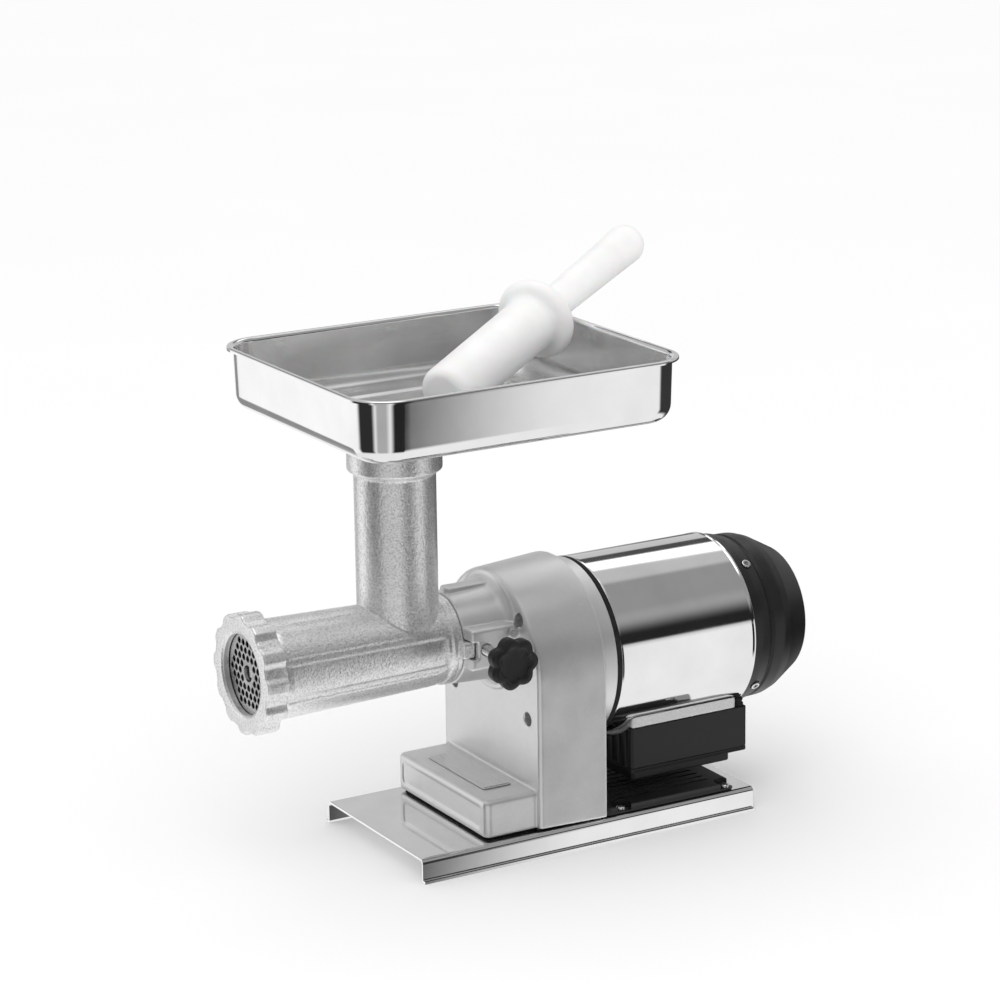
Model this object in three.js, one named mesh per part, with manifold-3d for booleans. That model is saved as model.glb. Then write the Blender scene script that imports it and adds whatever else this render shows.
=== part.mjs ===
// Electric meat grinder: a size 12 mincing head on a geared motor that stands on a channel-shaped base plate.
// Millimetres, +Z up. The head points to -X, the motor to +X, and the machine is symmetric about Y = 0.
import * as THREE from "three";
import { mergeVertices } from "three/addons/utils/BufferGeometryUtils.js";
import Module from "manifold-3d";

const wasm = await Module();
wasm.setup();

// ---------------------------------------------------------------- driving dimensions
// Fits
const seat = 0.3; // gap between faces that touch
const running = 0.5; // radial clearance of a piece that turns or slides in another

// Axes
const motorAxisHeight = 135.5; // above the table
const headAxisRise = 26.5; // head axis above the motor axis
const neckFromSnout = 37.7; // feed neck axis in front of the snout's front face

// Base plate: a sheet channel, open downwards, with small turned-out lips
const plateLength = 298;
const plateHalfWidth = 76.6;
const plateHeight = 18.7;
const plateSheet = 2;
const plateBend = 4;
const plateLip = 3;
const plateFrontOverhang = 59; // from the front edge of the plate to the gearcase foot
const baseGasketThickness = 1.3;

// Gearcase casting
const caseDepth = 58;
const caseFrontRadius = 73.4;
const caseRearRadius = 77.4;
const footLength = 45; // foot in front of the housing
const footHalfWidth = 69;
const footHeight = 29.4;
const snoutLength = 41.6;
const snoutRadius = 36;
const snoutWall = 6.1;
const snoutRibRise = 4;
const clampPadReach = 45.5; // flat clamp pad, distance from the head axis
const caseScrewCircle = 64.2;
const caseScrewAngles = [135.3, 208.9, -28.9, 44.7]; // degrees, from +Y towards +Z

// Gear train
const firstModule = 1.25;
const firstPinionTeeth = 10;
const firstGearTeeth = 48;
const secondModule = 1.8;
const secondPinionTeeth = 10;
const secondGearTeeth = 40;
const firstFaceWidth = 8;
const secondFaceWidth = 12;
const outputShaftRadius = 8;
const countershaftRadius = 5;
const motorShaftRadius = 6;

// Motor
const flangeRadius = 71.3;
const flangeDepth = 14;
const sleeveRadius = 70.5;
const sleeveSheet = 1.5;
const sleeveLength = 123;
const gasketRingDepth = 4;
const statorClearance = 7; // between the stator core and the sleeve
const rotorRadius = 33.5;
const coreLength = 60;
const fanCoverLength = 61;
const fanCoverTaper = 19.6; // from the sleeve's radius down to the cap's end
const fanClearance = 18.5; // between the fan's tips and the sleeve's radius

// Switch box under the motor, and the ribbed cover on the base plate
const boxHalfWidth = 52;
const boxLength = 108.5;
const boxWall = 2.5;
const boxFrontGap = 18.6; // from the sleeve's front edge
const padThickness = 10.4;
const lidFlange = 3.2;
const lidDepth = 6;
const baseCoverLength = 118;
const baseCoverHalfWidth = 73.5;
const baseCoverHeight = 6.3;
const boxOverCover = 9.6; // clear height between the base cover and the box lid

// Mincing head
const plateDiameter = 70; // hole plate
const holePlateThickness = 8;
const holeDiameter = 4.6;
const holePitch = 6.6;
const nutLength = 18;
const nutWall = 3.3; // outside the thread, in the valleys between the lobes
const nutLobeRise = 3.2;
const nutLobes = 12;
const nutLipReach = 4; // how far the nut's lip covers the hole plate
const nutLipThickness = 6;
const headLength = 170.9; // nut front face to the snout's front face
const barrelBore = 55;
const threadWall = 3.9; // outside the hole plate's seat
const barrelShoulder = 2; // step from the thread down to the barrel
const barrelRearRadius = 33.9;
const barrelBands = 8;
const bandRise = 1.1;
const augerPitch = 34;
const augerCoreRadius = 12;
const tailSquare = 14;
const knifeThickness = 8;

// Feed neck, tray and pusher
const neckRadius = 31;
const throatRadius = 25;
const neckHeight = 171.7; // from the head axis to the top of the collar
const collarRadius = 36;
const collarDepth = 32;
const spoutDepth = 22;
const trayLength = 275.7;
const trayHalfWidth = 124.7;
const trayHeight = 51.5;
const trayCorner = 33.3; // outside the rim
const traySheet = 1.5;
const trayRim = 5.5;
const trayDraft = 1.5; // the walls lean in by this much
const trayFold = 13; // radius between wall and floor
const trayBehindNeck = 187.4; // from the neck axis to the tray's rear edge
const trayPanelDrop = 2;
const pusherBodyRadius = 21.3;
const pusherBodyLength = 129.6;
const pusherDiscRadius = 32.5;
const pusherDiscThickness = 20;
const pusherHandleRadius = 13;
const pusherEndRadius = 16;
const pusherLength = 290;
const pusherYaw = 27.9; // degrees, from +X towards +Y
const pusherTipFromNeck = [30.1, -23]; // tip of the pusher from the neck axis, along X and Y

// Clamp knob
const studRadius = 4;
const knobRadius = 20.5;
const knobLobes = 7;
const knobThickness = 18;
const knobClearance = 26; // bare stud between the clamp pad and the knob
const studFromSnout = 13.3; // clamp stud axis behind the snout's front face

// ---------------------------------------------------------------- derived places
const headAxisHeight = motorAxisHeight + headAxisRise;
const snoutFront = 0;
const caseFront = snoutFront + snoutLength;
const caseRear = caseFront + caseDepth;
const footFront = caseFront - footLength;
const footBottom = plateHeight + baseGasketThickness + 2 * seat;
const footTop = footBottom + footHeight;
const plateFront = footFront - plateFrontOverhang;
const plateRear = plateFront + plateLength;
const flangeFront = caseRear + seat;
const flangeRear = flangeFront + flangeDepth;
const sleeveFront = flangeRear + gasketRingDepth + 2 * seat;
const sleeveRear = sleeveFront + sleeveLength;
const fanCoverFront = sleeveRear + seat;
const fanCoverRear = fanCoverFront + fanCoverLength;
const nutFront = snoutFront - headLength;
const nutRear = nutFront + nutLength;
const holePlateFront = nutFront + nutLipThickness + seat;
const holePlateRear = holePlateFront + holePlateThickness;
const barrelFront = holePlateFront + 2;
const barrelRear = snoutFront - seat;
const knifeFront = holePlateRear + seat;
const knifeRear = knifeFront + knifeThickness;
const augerFront = knifeRear + seat;
const neckX = snoutFront - neckFromSnout;
const neckTop = headAxisHeight + neckHeight;
const trayBottom = neckTop + seat;
const trayTop = trayBottom + trayHeight;
const trayRear = neckX + trayBehindNeck;
const trayMiddle = trayRear - trayLength / 2;
const coverTop = plateHeight + seat + baseCoverHeight;
const padTop = motorAxisHeight - Math.sqrt(sleeveRadius ** 2 - boxHalfWidth ** 2);
const padBottom = padTop - padThickness;
const boxTop = padBottom - seat;
const lidBottom = coverTop + boxOverCover;
const boxBottom = lidBottom + lidDepth + lidFlange + seat;
const boxFront = sleeveFront + boxFrontGap;
const boxRear = boxFront + boxLength;
const plateRadius = plateDiameter / 2;
const boreRadius = barrelBore / 2;
const statorRadius = sleeveRadius - sleeveSheet - statorClearance;
const fanRadius = sleeveRadius - fanClearance;
const fanCoverEndRadius = sleeveRadius - fanCoverTaper;
const counterboreRadius = plateRadius + running;
const threadRadius = counterboreRadius + threadWall;
const barrelFrontRadius = threadRadius - barrelShoulder;
const nutBore = threadRadius + running;
const nutValleyRadius = nutBore + nutWall;
const nutLobeRadius = nutValleyRadius + nutLobeRise;
const nutOpeningRadius = plateRadius - nutLipReach;

// The countershaft lies where both centre distances of the train are met, on the +Y side.
const firstCentres = (firstModule * (firstPinionTeeth + firstGearTeeth)) / 2;
const secondCentres = (secondModule * (secondPinionTeeth + secondGearTeeth)) / 2;
const counterRise =
  (firstCentres ** 2 - secondCentres ** 2 + headAxisRise ** 2) / (2 * headAxisRise);
const counterY = Math.sqrt(firstCentres ** 2 - counterRise ** 2);
const counterZ = motorAxisHeight + counterRise;

// ---------------------------------------------------------------- solids
const radians = THREE.MathUtils.degToRad;

// A closed geometry as a manifold solid, turned outwards if its faces point in.
function solid(geometry) {
  const bare = geometry.index ? geometry.toNonIndexed() : geometry.clone();
  bare.deleteAttribute("normal");
  bare.deleteAttribute("uv");
  const merged = mergeVertices(bare, 1e-4);
  const vertProperties = new Float32Array(merged.attributes.position.array);
  const whole = [];
  const index = merged.index.array;
  for (let i = 0; i < index.length; i += 3) {
    const [a, b, c] = [index[i], index[i + 1], index[i + 2]];
    if (a !== b && b !== c && c !== a) whole.push(a, b, c);
  }
  const make = (corners) => {
    const triVerts = new Uint32Array(corners);
    return new wasm.Manifold(new wasm.Mesh({ numProp: 3, vertProperties, triVerts }));
  };
  const made = make(whole);
  if (made.volume() > 0) return made;
  const turned = [];
  for (let i = 0; i < whole.length; i += 3) turned.push(whole[i], whole[i + 2], whole[i + 1]);
  return make(turned);
}

const join = (first, ...others) => others.reduce((sum, piece) => sum.add(piece), first);
const cut = (first, ...others) => others.reduce((rest, piece) => rest.subtract(piece), first);

// An outline of [a, b] points pulled along an axis.
function extrude(outline, depth) {
  const shape = new THREE.Shape(outline.map(([a, b]) => new THREE.Vector2(a, b)));
  return new THREE.ExtrudeGeometry(shape, { depth, bevelEnabled: false });
}

// Prisms: an outline of [y, z] along X, of [x, z] along Y, and of [x, y] along Z.
const alongX = new THREE.Matrix4().makeBasis(
  new THREE.Vector3(0, 1, 0),
  new THREE.Vector3(0, 0, 1),
  new THREE.Vector3(1, 0, 0),
);
const alongY = new THREE.Matrix4().makeBasis(
  new THREE.Vector3(1, 0, 0),
  new THREE.Vector3(0, 0, 1),
  new THREE.Vector3(0, -1, 0),
);
const prismX = (outline, x0, x1) =>
  solid(extrude(outline, x1 - x0).applyMatrix4(alongX).translate(x0, 0, 0));
const prismY = (outline, y0, y1) =>
  solid(extrude(outline, y1 - y0).applyMatrix4(alongY).translate(0, y1, 0));
const prismZ = (outline, z0, z1) => solid(extrude(outline, z1 - z0).translate(0, 0, z0));

function box(x0, x1, y0, y1, z0, z1) {
  const geometry = new THREE.BoxGeometry(x1 - x0, y1 - y0, z1 - z0);
  return solid(geometry.translate((x0 + x1) / 2, (y0 + y1) / 2, (z0 + z1) / 2));
}

// Sides of a turned piece, from the sleeve's down to a screw's
const large = 48;
const wide = 32;
const medium = 24;
const small = 16;
const tiny = 8;

// Turned pieces: profiles of [place along the axis, radius], closed on themselves or down to the axis.
function turned(profile, sides) {
  const points = profile.map(([along, radius]) => new THREE.Vector2(radius, along));
  const open = profile[0][1] > 0 || profile[profile.length - 1][1] > 0;
  if (open) points.push(points[0].clone());
  return new THREE.LatheGeometry(points, sides);
}
const turnedX = (profile, y, z, sides = medium) =>
  solid(turned(profile, sides).rotateZ(-Math.PI / 2).translate(0, y, z));
const turnedY = (profile, x, z, sides = small) => solid(turned(profile, sides).translate(x, 0, z));
const turnedZ = (profile, x, y, sides = medium) =>
  solid(turned(profile, sides).rotateX(Math.PI / 2).translate(x, y, 0));

// A rod and a ring along X, Y or Z, from their radii and ends.
const rod = (a, b, radius) => [
  [a, 0],
  [a, radius],
  [b, radius],
  [b, 0],
];
const ring = (a, b, inner, outer) => [
  [a, inner],
  [a, outer],
  [b, outer],
  [b, inner],
];

// A skin over loops of equal length, closed at both ends by a fan about the loop's middle.
function loft(loops) {
  const positions = [];
  const put = (...points) => points.forEach((p) => positions.push(p.x, p.y, p.z));
  const count = loops[0].length;
  for (let s = 0; s + 1 < loops.length; s++)
    for (let i = 0; i < count; i++) {
      const j = (i + 1) % count;
      put(loops[s][i], loops[s][j], loops[s + 1][j]);
      put(loops[s][i], loops[s + 1][j], loops[s + 1][i]);
    }
  for (const [loop, flip] of [
    [loops[0], true],
    [loops[loops.length - 1], false],
  ]) {
    const middle = new THREE.Vector3();
    loop.forEach((p) => middle.addScaledVector(p, 1 / count));
    loop.forEach((p, i) => {
      const q = loop[(i + 1) % count];
      if (flip) put(middle, q, p);
      else put(middle, p, q);
    });
  }
  const geometry = new THREE.BufferGeometry();
  geometry.setAttribute("position", new THREE.Float32BufferAttribute(positions, 3));
  return solid(geometry);
}

// Outlines
const polar = (radius, degrees, a = 0, b = 0) => [
  a + radius * Math.cos(radians(degrees)),
  b + radius * Math.sin(radians(degrees)),
];
function roundedRectangle(a0, a1, b0, b1, radius, steps = 5) {
  const corners = [
    [a1 - radius, b0 + radius, -90],
    [a1 - radius, b1 - radius, 0],
    [a0 + radius, b1 - radius, 90],
    [a0 + radius, b0 + radius, 180],
  ];
  return corners.flatMap(([a, b, start]) =>
    Array.from({ length: steps + 1 }, (_, i) => polar(radius, start + (90 * i) / steps, a, b)),
  );
}
const polygon = (sides, radius, a = 0, b = 0, turn = 0) =>
  Array.from({ length: sides }, (_, i) => polar(radius, turn + (360 * i) / sides, a, b));

const levelLoop = (outline, z) => outline.map(([x, y]) => new THREE.Vector3(x, y, z));
const uprightLoop = (outline, x) => outline.map(([y, z]) => new THREE.Vector3(x, y, z));

// ---------------------------------------------------------------- the assembly
const machine = new THREE.Group();

function add(name, made, [color, roughness, metalness]) {
  const mesh = made.getMesh();
  const geometry = new THREE.BufferGeometry();
  const stride = mesh.numProp;
  const position = new Float32Array(mesh.numVert * 3);
  for (let i = 0; i < mesh.numVert; i++)
    position.set(mesh.vertProperties.subarray(i * stride, i * stride + 3), i * 3);
  geometry.setAttribute("position", new THREE.BufferAttribute(position, 3));
  geometry.setIndex(new THREE.BufferAttribute(mesh.triVerts, 1));
  geometry.computeVertexNormals();
  const material = new THREE.MeshStandardMaterial({ color, roughness, metalness });
  const piece = new THREE.Mesh(geometry, material);
  piece.name = name;
  machine.add(piece);
}

// Finishes: colour, roughness, metalness
const polishedSteel = [0xd9dbdc, 0.12, 1];
const castAluminium = [0xc4c6c6, 0.42, 1];
const tinnedIron = [0xb9babb, 0.48, 1];
const machinedSteel = [0x9fa2a5, 0.3, 1];
const zincScrew = [0xb4b6b8, 0.3, 1];
const blackPlastic = [0x1a1a1b, 0.5, 0];
const blackRubber = [0x121212, 0.8, 0];
const whitePlastic = [0xf2f2f0, 0.45, 0];
const copper = [0xb0673a, 0.45, 1];
const bronze = [0xa9803f, 0.4, 1];

// A cylinder-head screw along +X, its head at the -X end, with a hexagonal socket.
function socketScrew(x0, x1, shankRadius, headRadius, headDepth, y, z) {
  const body = turnedX(
    [
      [x0, 0],
      [x0, headRadius],
      [x0 + headDepth, headRadius],
      [x0 + headDepth, shankRadius],
      [x1, shankRadius],
      [x1, 0],
    ],
    y,
    z,
    tiny,
  );
  return cut(body, prismX(polygon(6, headRadius * 0.5, y, z), x0 - 1, x0 + headDepth * 0.6));
}

// ---- base
const gearcaseBolts = [
  [footFront + 20, footHalfWidth - 16],
  [caseRear - 18, 16 - footHalfWidth],
];
const coverFront = caseRear + 2;
const coverRear = coverFront + baseCoverLength;
const coverScrews = [
  [coverFront + 16, baseCoverHalfWidth - 6],
  [coverFront + 16, 6 - baseCoverHalfWidth],
  [coverRear - 6, baseCoverHalfWidth - 5],
  [coverRear - 6, 5 - baseCoverHalfWidth],
];
const boltRadius = 3;
const coverScrewRadius = 2;

function basePlate() {
  const arc = (halfWidth, top, bend, side) =>
    [0, 30, 60, 90].map((turn) => {
      const [a, b] = polar(bend, turn, halfWidth - bend, top - bend);
      return [side * a, b];
    });
  const inside = plateHalfWidth - plateSheet;
  const channel = prismX(
    [
      [plateHalfWidth + plateLip, 0],
      [plateHalfWidth + plateLip, plateSheet],
      [plateHalfWidth, plateSheet],
      ...arc(plateHalfWidth, plateHeight, plateBend, 1),
      ...arc(plateHalfWidth, plateHeight, plateBend, -1).reverse(),
      [-plateHalfWidth, plateSheet],
      [-plateHalfWidth - plateLip, plateSheet],
      [-plateHalfWidth - plateLip, 0],
      [-inside, 0],
      ...arc(inside, plateHeight - plateSheet, plateBend - plateSheet, -1),
      ...arc(inside, plateHeight - plateSheet, plateBend - plateSheet, 1).reverse(),
      [inside, 0],
    ],
    plateFront,
    plateRear,
  );
  const drill = (radius) => ([x, y]) =>
    turnedZ(rod(plateHeight - 2 * plateSheet, plateHeight + 1, radius + running), x, y, tiny);
  return cut(
    channel,
    ...gearcaseBolts.map(drill(boltRadius)),
    ...coverScrews.map(drill(coverScrewRadius)),
  );
}

// A rubber gasket under the casting, a little smaller all round than its foot.
const gasketInset = 3;
function baseGasket() {
  const outline = (rim) => [
    [footFront + rim, rim - footHalfWidth],
    [caseFront, rim - footHalfWidth],
    [caseFront, rim - caseFrontRadius],
    [caseRear - rim, rim - caseFrontRadius],
    [caseRear - rim, caseFrontRadius - rim],
    [caseFront, caseFrontRadius - rim],
    [caseFront, footHalfWidth - rim],
    [footFront + rim, footHalfWidth - rim],
  ];
  const z0 = plateHeight + seat;
  const sheet = prismZ(outline(gasketInset), z0, z0 + baseGasketThickness);
  return cut(
    sheet,
    ...gearcaseBolts.map(([x, y]) => turnedZ(rod(z0 - 1, z0 + 3, boltRadius + running), x, y, tiny)),
  );
}

function gearcaseBolt(x, y) {
  const headTop = plateHeight - plateSheet - seat;
  const body = turnedZ(
    [
      [headTop - 5, 0],
      [headTop - 5, 5],
      [headTop, 5],
      [headTop, boltRadius],
      [footBottom + 14, boltRadius],
      [footBottom + 14, 0],
    ],
    x,
    y,
    tiny,
  );
  return cut(body, prismZ(polygon(6, 2.6, x, y), headTop - 6, headTop - 2));
}

const coverGrooves = 7;
function baseCover() {
  const z0 = plateHeight + seat;
  const [x0, x1] = [coverFront, coverRear];
  const w = baseCoverHalfWidth;
  const body = loft([
    levelLoop(roundedRectangle(x0, x1, -w, w, 4, 3), z0),
    levelLoop(roundedRectangle(x0, x1, -w, w, 4, 3), coverTop - 2),
    levelLoop(roundedRectangle(x0 + 1.6, x1 - 1.6, 1.6 - w, w - 1.6, 3, 3), coverTop),
  ]);
  const pitch = (2 * (w - 14)) / (coverGrooves - 1);
  const grooves = Array.from({ length: coverGrooves }, (_, i) => {
    const y = 14 - w + i * pitch;
    return box(x0 + 26, x1 - 22, y - 1, y + 1, coverTop - 1.2, coverTop + 1);
  });
  const ledge = z0 + 1.8;
  const notches = coverScrews.map(([x, y]) => turnedZ(rod(ledge, coverTop + 1, 8.5), x, y, 12));
  const drill = rod(z0 - 1, ledge + 1, coverScrewRadius + running);
  const holes = coverScrews.map(([x, y]) => turnedZ(drill, x, y, tiny));
  return cut(body, ...grooves, ...notches, ...holes);
}

function coverScrew(x, y) {
  const headBase = plateHeight + seat + 1.8 + seat;
  return turnedZ(
    [
      [plateHeight - 5, 0],
      [plateHeight - 5, coverScrewRadius],
      [headBase, coverScrewRadius],
      [headBase, 4],
      [headBase + 1.4, 3.4],
      [headBase + 2.4, 1.6],
      [headBase + 2.6, 0],
    ],
    x,
    y,
    tiny,
  );
}

// ---- gearcase
const snoutBore = snoutRadius - snoutWall;
const spigotLength = 21.6;
const bearingSeat = caseFront - 6;
const frontBearingWidth = 12.5;
const frontBearingRadius = 20.6;
const sealWidth = 6;
const sealRadius = 17.7;
const hubRadius = 12;
const lugHeight = 13;
const lugLength = 6;
const lugReach = 41;
const gearWall = bearingSeat + frontBearingWidth + seat;
const secondGearFront = gearWall + 3;
const secondGearRear = secondGearFront + secondFaceWidth;
const firstGearFront = secondGearRear + 5.5;
const firstGearRear = firstGearFront + firstFaceWidth;
const tipRadius = (teeth, module) => module * (teeth / 2 + 0.9);
const studX = snoutFront + studFromSnout;
const nameplate = { length: 25, halfWidth: 44, thickness: 0.6 };

function archOutline(radius, bottom, corner) {
  const arc = Array.from({ length: 16 }, (_, i) => polar(radius, i * 12, 0, motorAxisHeight));
  return [
    [-radius, bottom + corner],
    [corner - radius, bottom],
    [radius - corner, bottom],
    [radius, bottom + corner],
    ...arc,
  ];
}

function gearcase() {
  const edge = (inset) => caseFrontRadius - inset;
  const housing = loft(
    [
      [caseFront, edge(3.4), 3],
      [caseFront + 1, edge(1.2), 1.4],
      [caseFront + 3.4, edge(0), 1],
      [caseRear, caseRearRadius, 1],
    ].map(([x, radius, corner]) => uprightLoop(archOutline(radius, footBottom, corner), x)),
  );
  const footLoop = (z, inset) =>
    levelLoop(
      roundedRectangle(
        footFront + inset,
        caseFront + 20,
        inset - footHalfWidth,
        footHalfWidth - inset,
        Math.max(1, 5 - inset),
        3,
      ),
      z,
    );
  const foot = loft([
    footLoop(footBottom, 2.4),
    footLoop(footBottom + 0.7, 0.7),
    footLoop(footBottom + 2.4, 0),
    footLoop(footTop - 4, 0),
    footLoop(footTop - 1.2, 1.2),
    footLoop(footTop, 4),
  ]);
  const axis = [0, headAxisHeight];
  const snout = turnedX(
    [
      [snoutFront, 0],
      [snoutFront, snoutRadius - 0.6],
      [snoutFront + 0.6, snoutRadius],
      [caseFront - 9, snoutRadius + 1.6],
      [caseFront - 5, snoutRadius + 3.2],
      [caseFront - 2, snoutRadius + 6],
      [caseFront, snoutRadius + 10.4],
      [caseFront + 6, snoutRadius + 10.4],
      [caseFront + 6, 0],
    ],
    ...axis,
    wide,
  );
  const ribTop = headAxisHeight + snoutRadius + snoutRibRise;
  const rib = prismX(
    [
      [-8, headAxisHeight + snoutRadius - 8],
      [8, headAxisHeight + snoutRadius - 8],
      [6, ribTop - 0.8],
      [5, ribTop],
      [-5, ribTop],
      [-6, ribTop - 0.8],
    ],
    snoutFront + 3,
    caseFront + 6,
  );
  const padZ = headAxisHeight;
  const pad = prismX(
    [
      [0, padZ - 16],
      [2 - clampPadReach, padZ - 16],
      [-clampPadReach, padZ - 14],
      [-clampPadReach, padZ + 14],
      [2 - clampPadReach, padZ + 16],
      [0, padZ + 16],
    ],
    snoutFront + 1.2,
    caseFront + 6,
  );
  const bores = turnedX(
    [
      [snoutFront - 1, 0],
      [snoutFront - 1, snoutBore],
      [snoutFront + spigotLength + 3, snoutBore],
      [snoutFront + spigotLength + 3, sealRadius + seat],
      [bearingSeat, sealRadius + seat],
      [bearingSeat, frontBearingRadius + seat],
      [gearWall + 0.5, frontBearingRadius + seat],
      [gearWall + 0.5, 0],
    ],
    ...axis,
    medium,
  );
  const lugSlot = box(
    snoutFront - 1,
    snoutFront + lugLength + running,
    -clampPadReach - 1,
    1 - snoutBore,
    headAxisHeight - lugHeight / 2 - running,
    headAxisHeight + lugHeight / 2 + running,
  );
  const studBore = turnedY(
    rod(-clampPadReach - 1, 2 - snoutBore, studRadius + running),
    studX,
    headAxisHeight,
  );
  // The cavity follows the gears, with room for their tips.
  const room = 2;
  const wheelRoom = (teeth, module, y, z, x0) =>
    turnedX(rod(x0, caseRear + 1, tipRadius(teeth, module) + room), y, z, small);
  const cavity = [
    wheelRoom(secondGearTeeth, secondModule, 0, headAxisHeight, gearWall),
    wheelRoom(firstGearTeeth, firstModule, counterY, counterZ, secondGearFront - 2),
    wheelRoom(firstPinionTeeth, firstModule, 0, motorAxisHeight, firstGearFront - 4),
    turnedX(
      rod(gearWall - 4, secondGearFront, countershaftRadius + running),
      counterY,
      counterZ,
      small,
    ),
  ];
  const screwHoles = caseScrewAngles.flatMap((angle) => {
    const [y, z] = polar(caseScrewCircle, angle, 0, motorAxisHeight);
    return [
      turnedX(rod(caseFront - 1, caseFront + 12, 5.4), y, z, small),
      turnedX(rod(caseFront, caseRear + 1, 2.5 + running), y, z, tiny),
    ];
  });
  const facePanel = prismX(
    roundedRectangle(7 - footHalfWidth, footHalfWidth - 7, footBottom + 6, footTop - 6, 4, 3),
    footFront - 1,
    footFront + 1,
  );
  const boltHoles = gearcaseBolts.map(([x, y]) =>
    turnedZ(rod(footBottom - 1, footBottom + 15, boltRadius + running), x, y, tiny),
  );
  return cut(
    join(housing, foot, snout, rib, pad),
    bores,
    lugSlot,
    studBore,
    ...cavity,
    ...screwHoles,
    facePanel,
    ...boltHoles,
  );
}

function namePlate() {
  const x0 = (footFront + caseFront) / 2 - nameplate.length / 2 + 3;
  const outline = roundedRectangle(
    x0,
    x0 + nameplate.length,
    -nameplate.halfWidth,
    nameplate.halfWidth,
    2,
    2,
  );
  return prismZ(outline, footTop + seat, footTop + seat + nameplate.thickness);
}

// ---- gear train
// A spur gear outline: straight-flanked teeth, narrow enough to run with backlash; a tooth points at `turn`.
function gearOutline(teeth, module, y, z, turn) {
  const radius = (module * teeth) / 2;
  const step = 360 / teeth;
  const tooth = [
    [-0.3, radius - 1.15 * module],
    [-0.1, radius + 0.85 * module],
    [0.1, radius + 0.85 * module],
    [0.3, radius - 1.15 * module],
  ];
  return Array.from({ length: teeth }, (_, i) =>
    tooth.map(([share, r]) => polar(r, turn + (i + share) * step, y, z)),
  ).flat();
}
const towardCounter = THREE.MathUtils.radToDeg(Math.atan2(counterZ - motorAxisHeight, counterY));
const towardOutput = THREE.MathUtils.radToDeg(Math.atan2(headAxisHeight - counterZ, -counterY));

const hubFront = snoutFront + spigotLength - 9;
const tailLength = 18;
const rearBearingRadius = 12.5;
const bossFront = firstGearRear + 2;
const shaftEnd = flangeFront + 2;

function outputShaft() {
  const body = turnedX(
    [
      [hubFront, 0],
      [hubFront, hubRadius],
      [secondGearFront - 1, hubRadius],
      [secondGearFront - 1, outputShaftRadius],
      [shaftEnd, outputShaftRadius],
      [shaftEnd, 0],
    ],
    0,
    headAxisHeight,
  );
  const half = tailSquare / 2 + seat;
  const socket = box(
    hubFront - 1,
    hubFront + tailLength + 2,
    -half,
    half,
    headAxisHeight - half,
    headAxisHeight + half,
  );
  return cut(body, socket);
}

function outputGear() {
  const turn = towardOutput + 180 + 180 / secondGearTeeth;
  const wheel = prismX(
    gearOutline(secondGearTeeth, secondModule, 0, headAxisHeight, turn),
    secondGearFront,
    secondGearRear,
  );
  const bore = rod(secondGearFront - 1, secondGearRear + 1, outputShaftRadius + seat);
  return cut(wheel, turnedX(bore, 0, headAxisHeight));
}

const counterFront = gearWall - 3;
function countershaft() {
  const pinion = prismX(
    gearOutline(secondPinionTeeth, secondModule, counterY, counterZ, towardOutput),
    secondGearFront - 1,
    secondGearRear + 1,
  );
  const shaft = turnedX(rod(counterFront, shaftEnd, countershaftRadius), counterY, counterZ, small);
  return join(shaft, pinion);
}

function intermediateGear() {
  const turn = towardCounter + 180 + 180 / firstGearTeeth;
  const wheel = prismX(
    gearOutline(firstGearTeeth, firstModule, counterY, counterZ, turn),
    firstGearFront,
    firstGearRear,
  );
  const bore = rod(firstGearFront - 1, firstGearRear + 1, countershaftRadius + seat);
  return cut(wheel, turnedX(bore, counterY, counterZ, small));
}

// ---- motor
const motorBearingRadius = 15.7;
const coreFront = sleeveFront + 28;
const coreRear = coreFront + coreLength;
const rearShieldFront = sleeveRear - 14;
const rearShieldDepth = 12;
const shieldRadius = sleeveRadius - sleeveSheet - running;
const fanFront = fanCoverFront + 9;
const fanDepth = 15;
const fanHubRadius = 15;
const windingDepth = 18;
const pinionRear = firstGearRear + 2;

function motorFlange() {
  const disc = turnedX(
    [
      [flangeFront, 0],
      [flangeFront, flangeRadius - 0.8],
      [flangeFront + 0.8, flangeRadius],
      [flangeRear - 0.8, flangeRadius],
      [flangeRear, flangeRadius - 0.8],
      [flangeRear, 0],
    ],
    0,
    motorAxisHeight,
    wide,
  );
  const boss = turnedX(rod(bossFront, flangeFront + 1, rearBearingRadius + 4), 0, headAxisHeight);
  const through = (x0, x1, radius, y, z) => turnedX(rod(x0, x1, radius), y, z, small);
  const bores = [
    through(bossFront - 1, bossFront + 10 + seat, rearBearingRadius + seat, 0, headAxisHeight),
    through(bossFront, shaftEnd + 1, outputShaftRadius + running, 0, headAxisHeight),
    through(flangeFront - 1, shaftEnd + 1, countershaftRadius + seat, counterY, counterZ),
    through(flangeFront - 1, flangeRear + 1, motorShaftRadius + running, 0, motorAxisHeight),
    through(flangeFront + 3, flangeRear + 1, motorBearingRadius + seat, 0, motorAxisHeight),
  ];
  const threads = caseScrewAngles.map((angle) => {
    const [y, z] = polar(caseScrewCircle, angle, 0, motorAxisHeight);
    return turnedX(rod(flangeFront - 1, flangeFront + 10, 2.5 + running), y, z, tiny);
  });
  return cut(join(disc, boss), ...bores, ...threads);
}

function motorShaft() {
  const pinion = prismX(
    gearOutline(firstPinionTeeth, firstModule, 0, motorAxisHeight, towardCounter),
    firstGearFront - 1,
    pinionRear,
  );
  const shaftRod = rod(pinionRear - 1, fanFront + fanDepth + 4, motorShaftRadius);
  const shaft = turnedX(shaftRod, 0, motorAxisHeight, small);
  return join(shaft, pinion);
}

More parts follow.
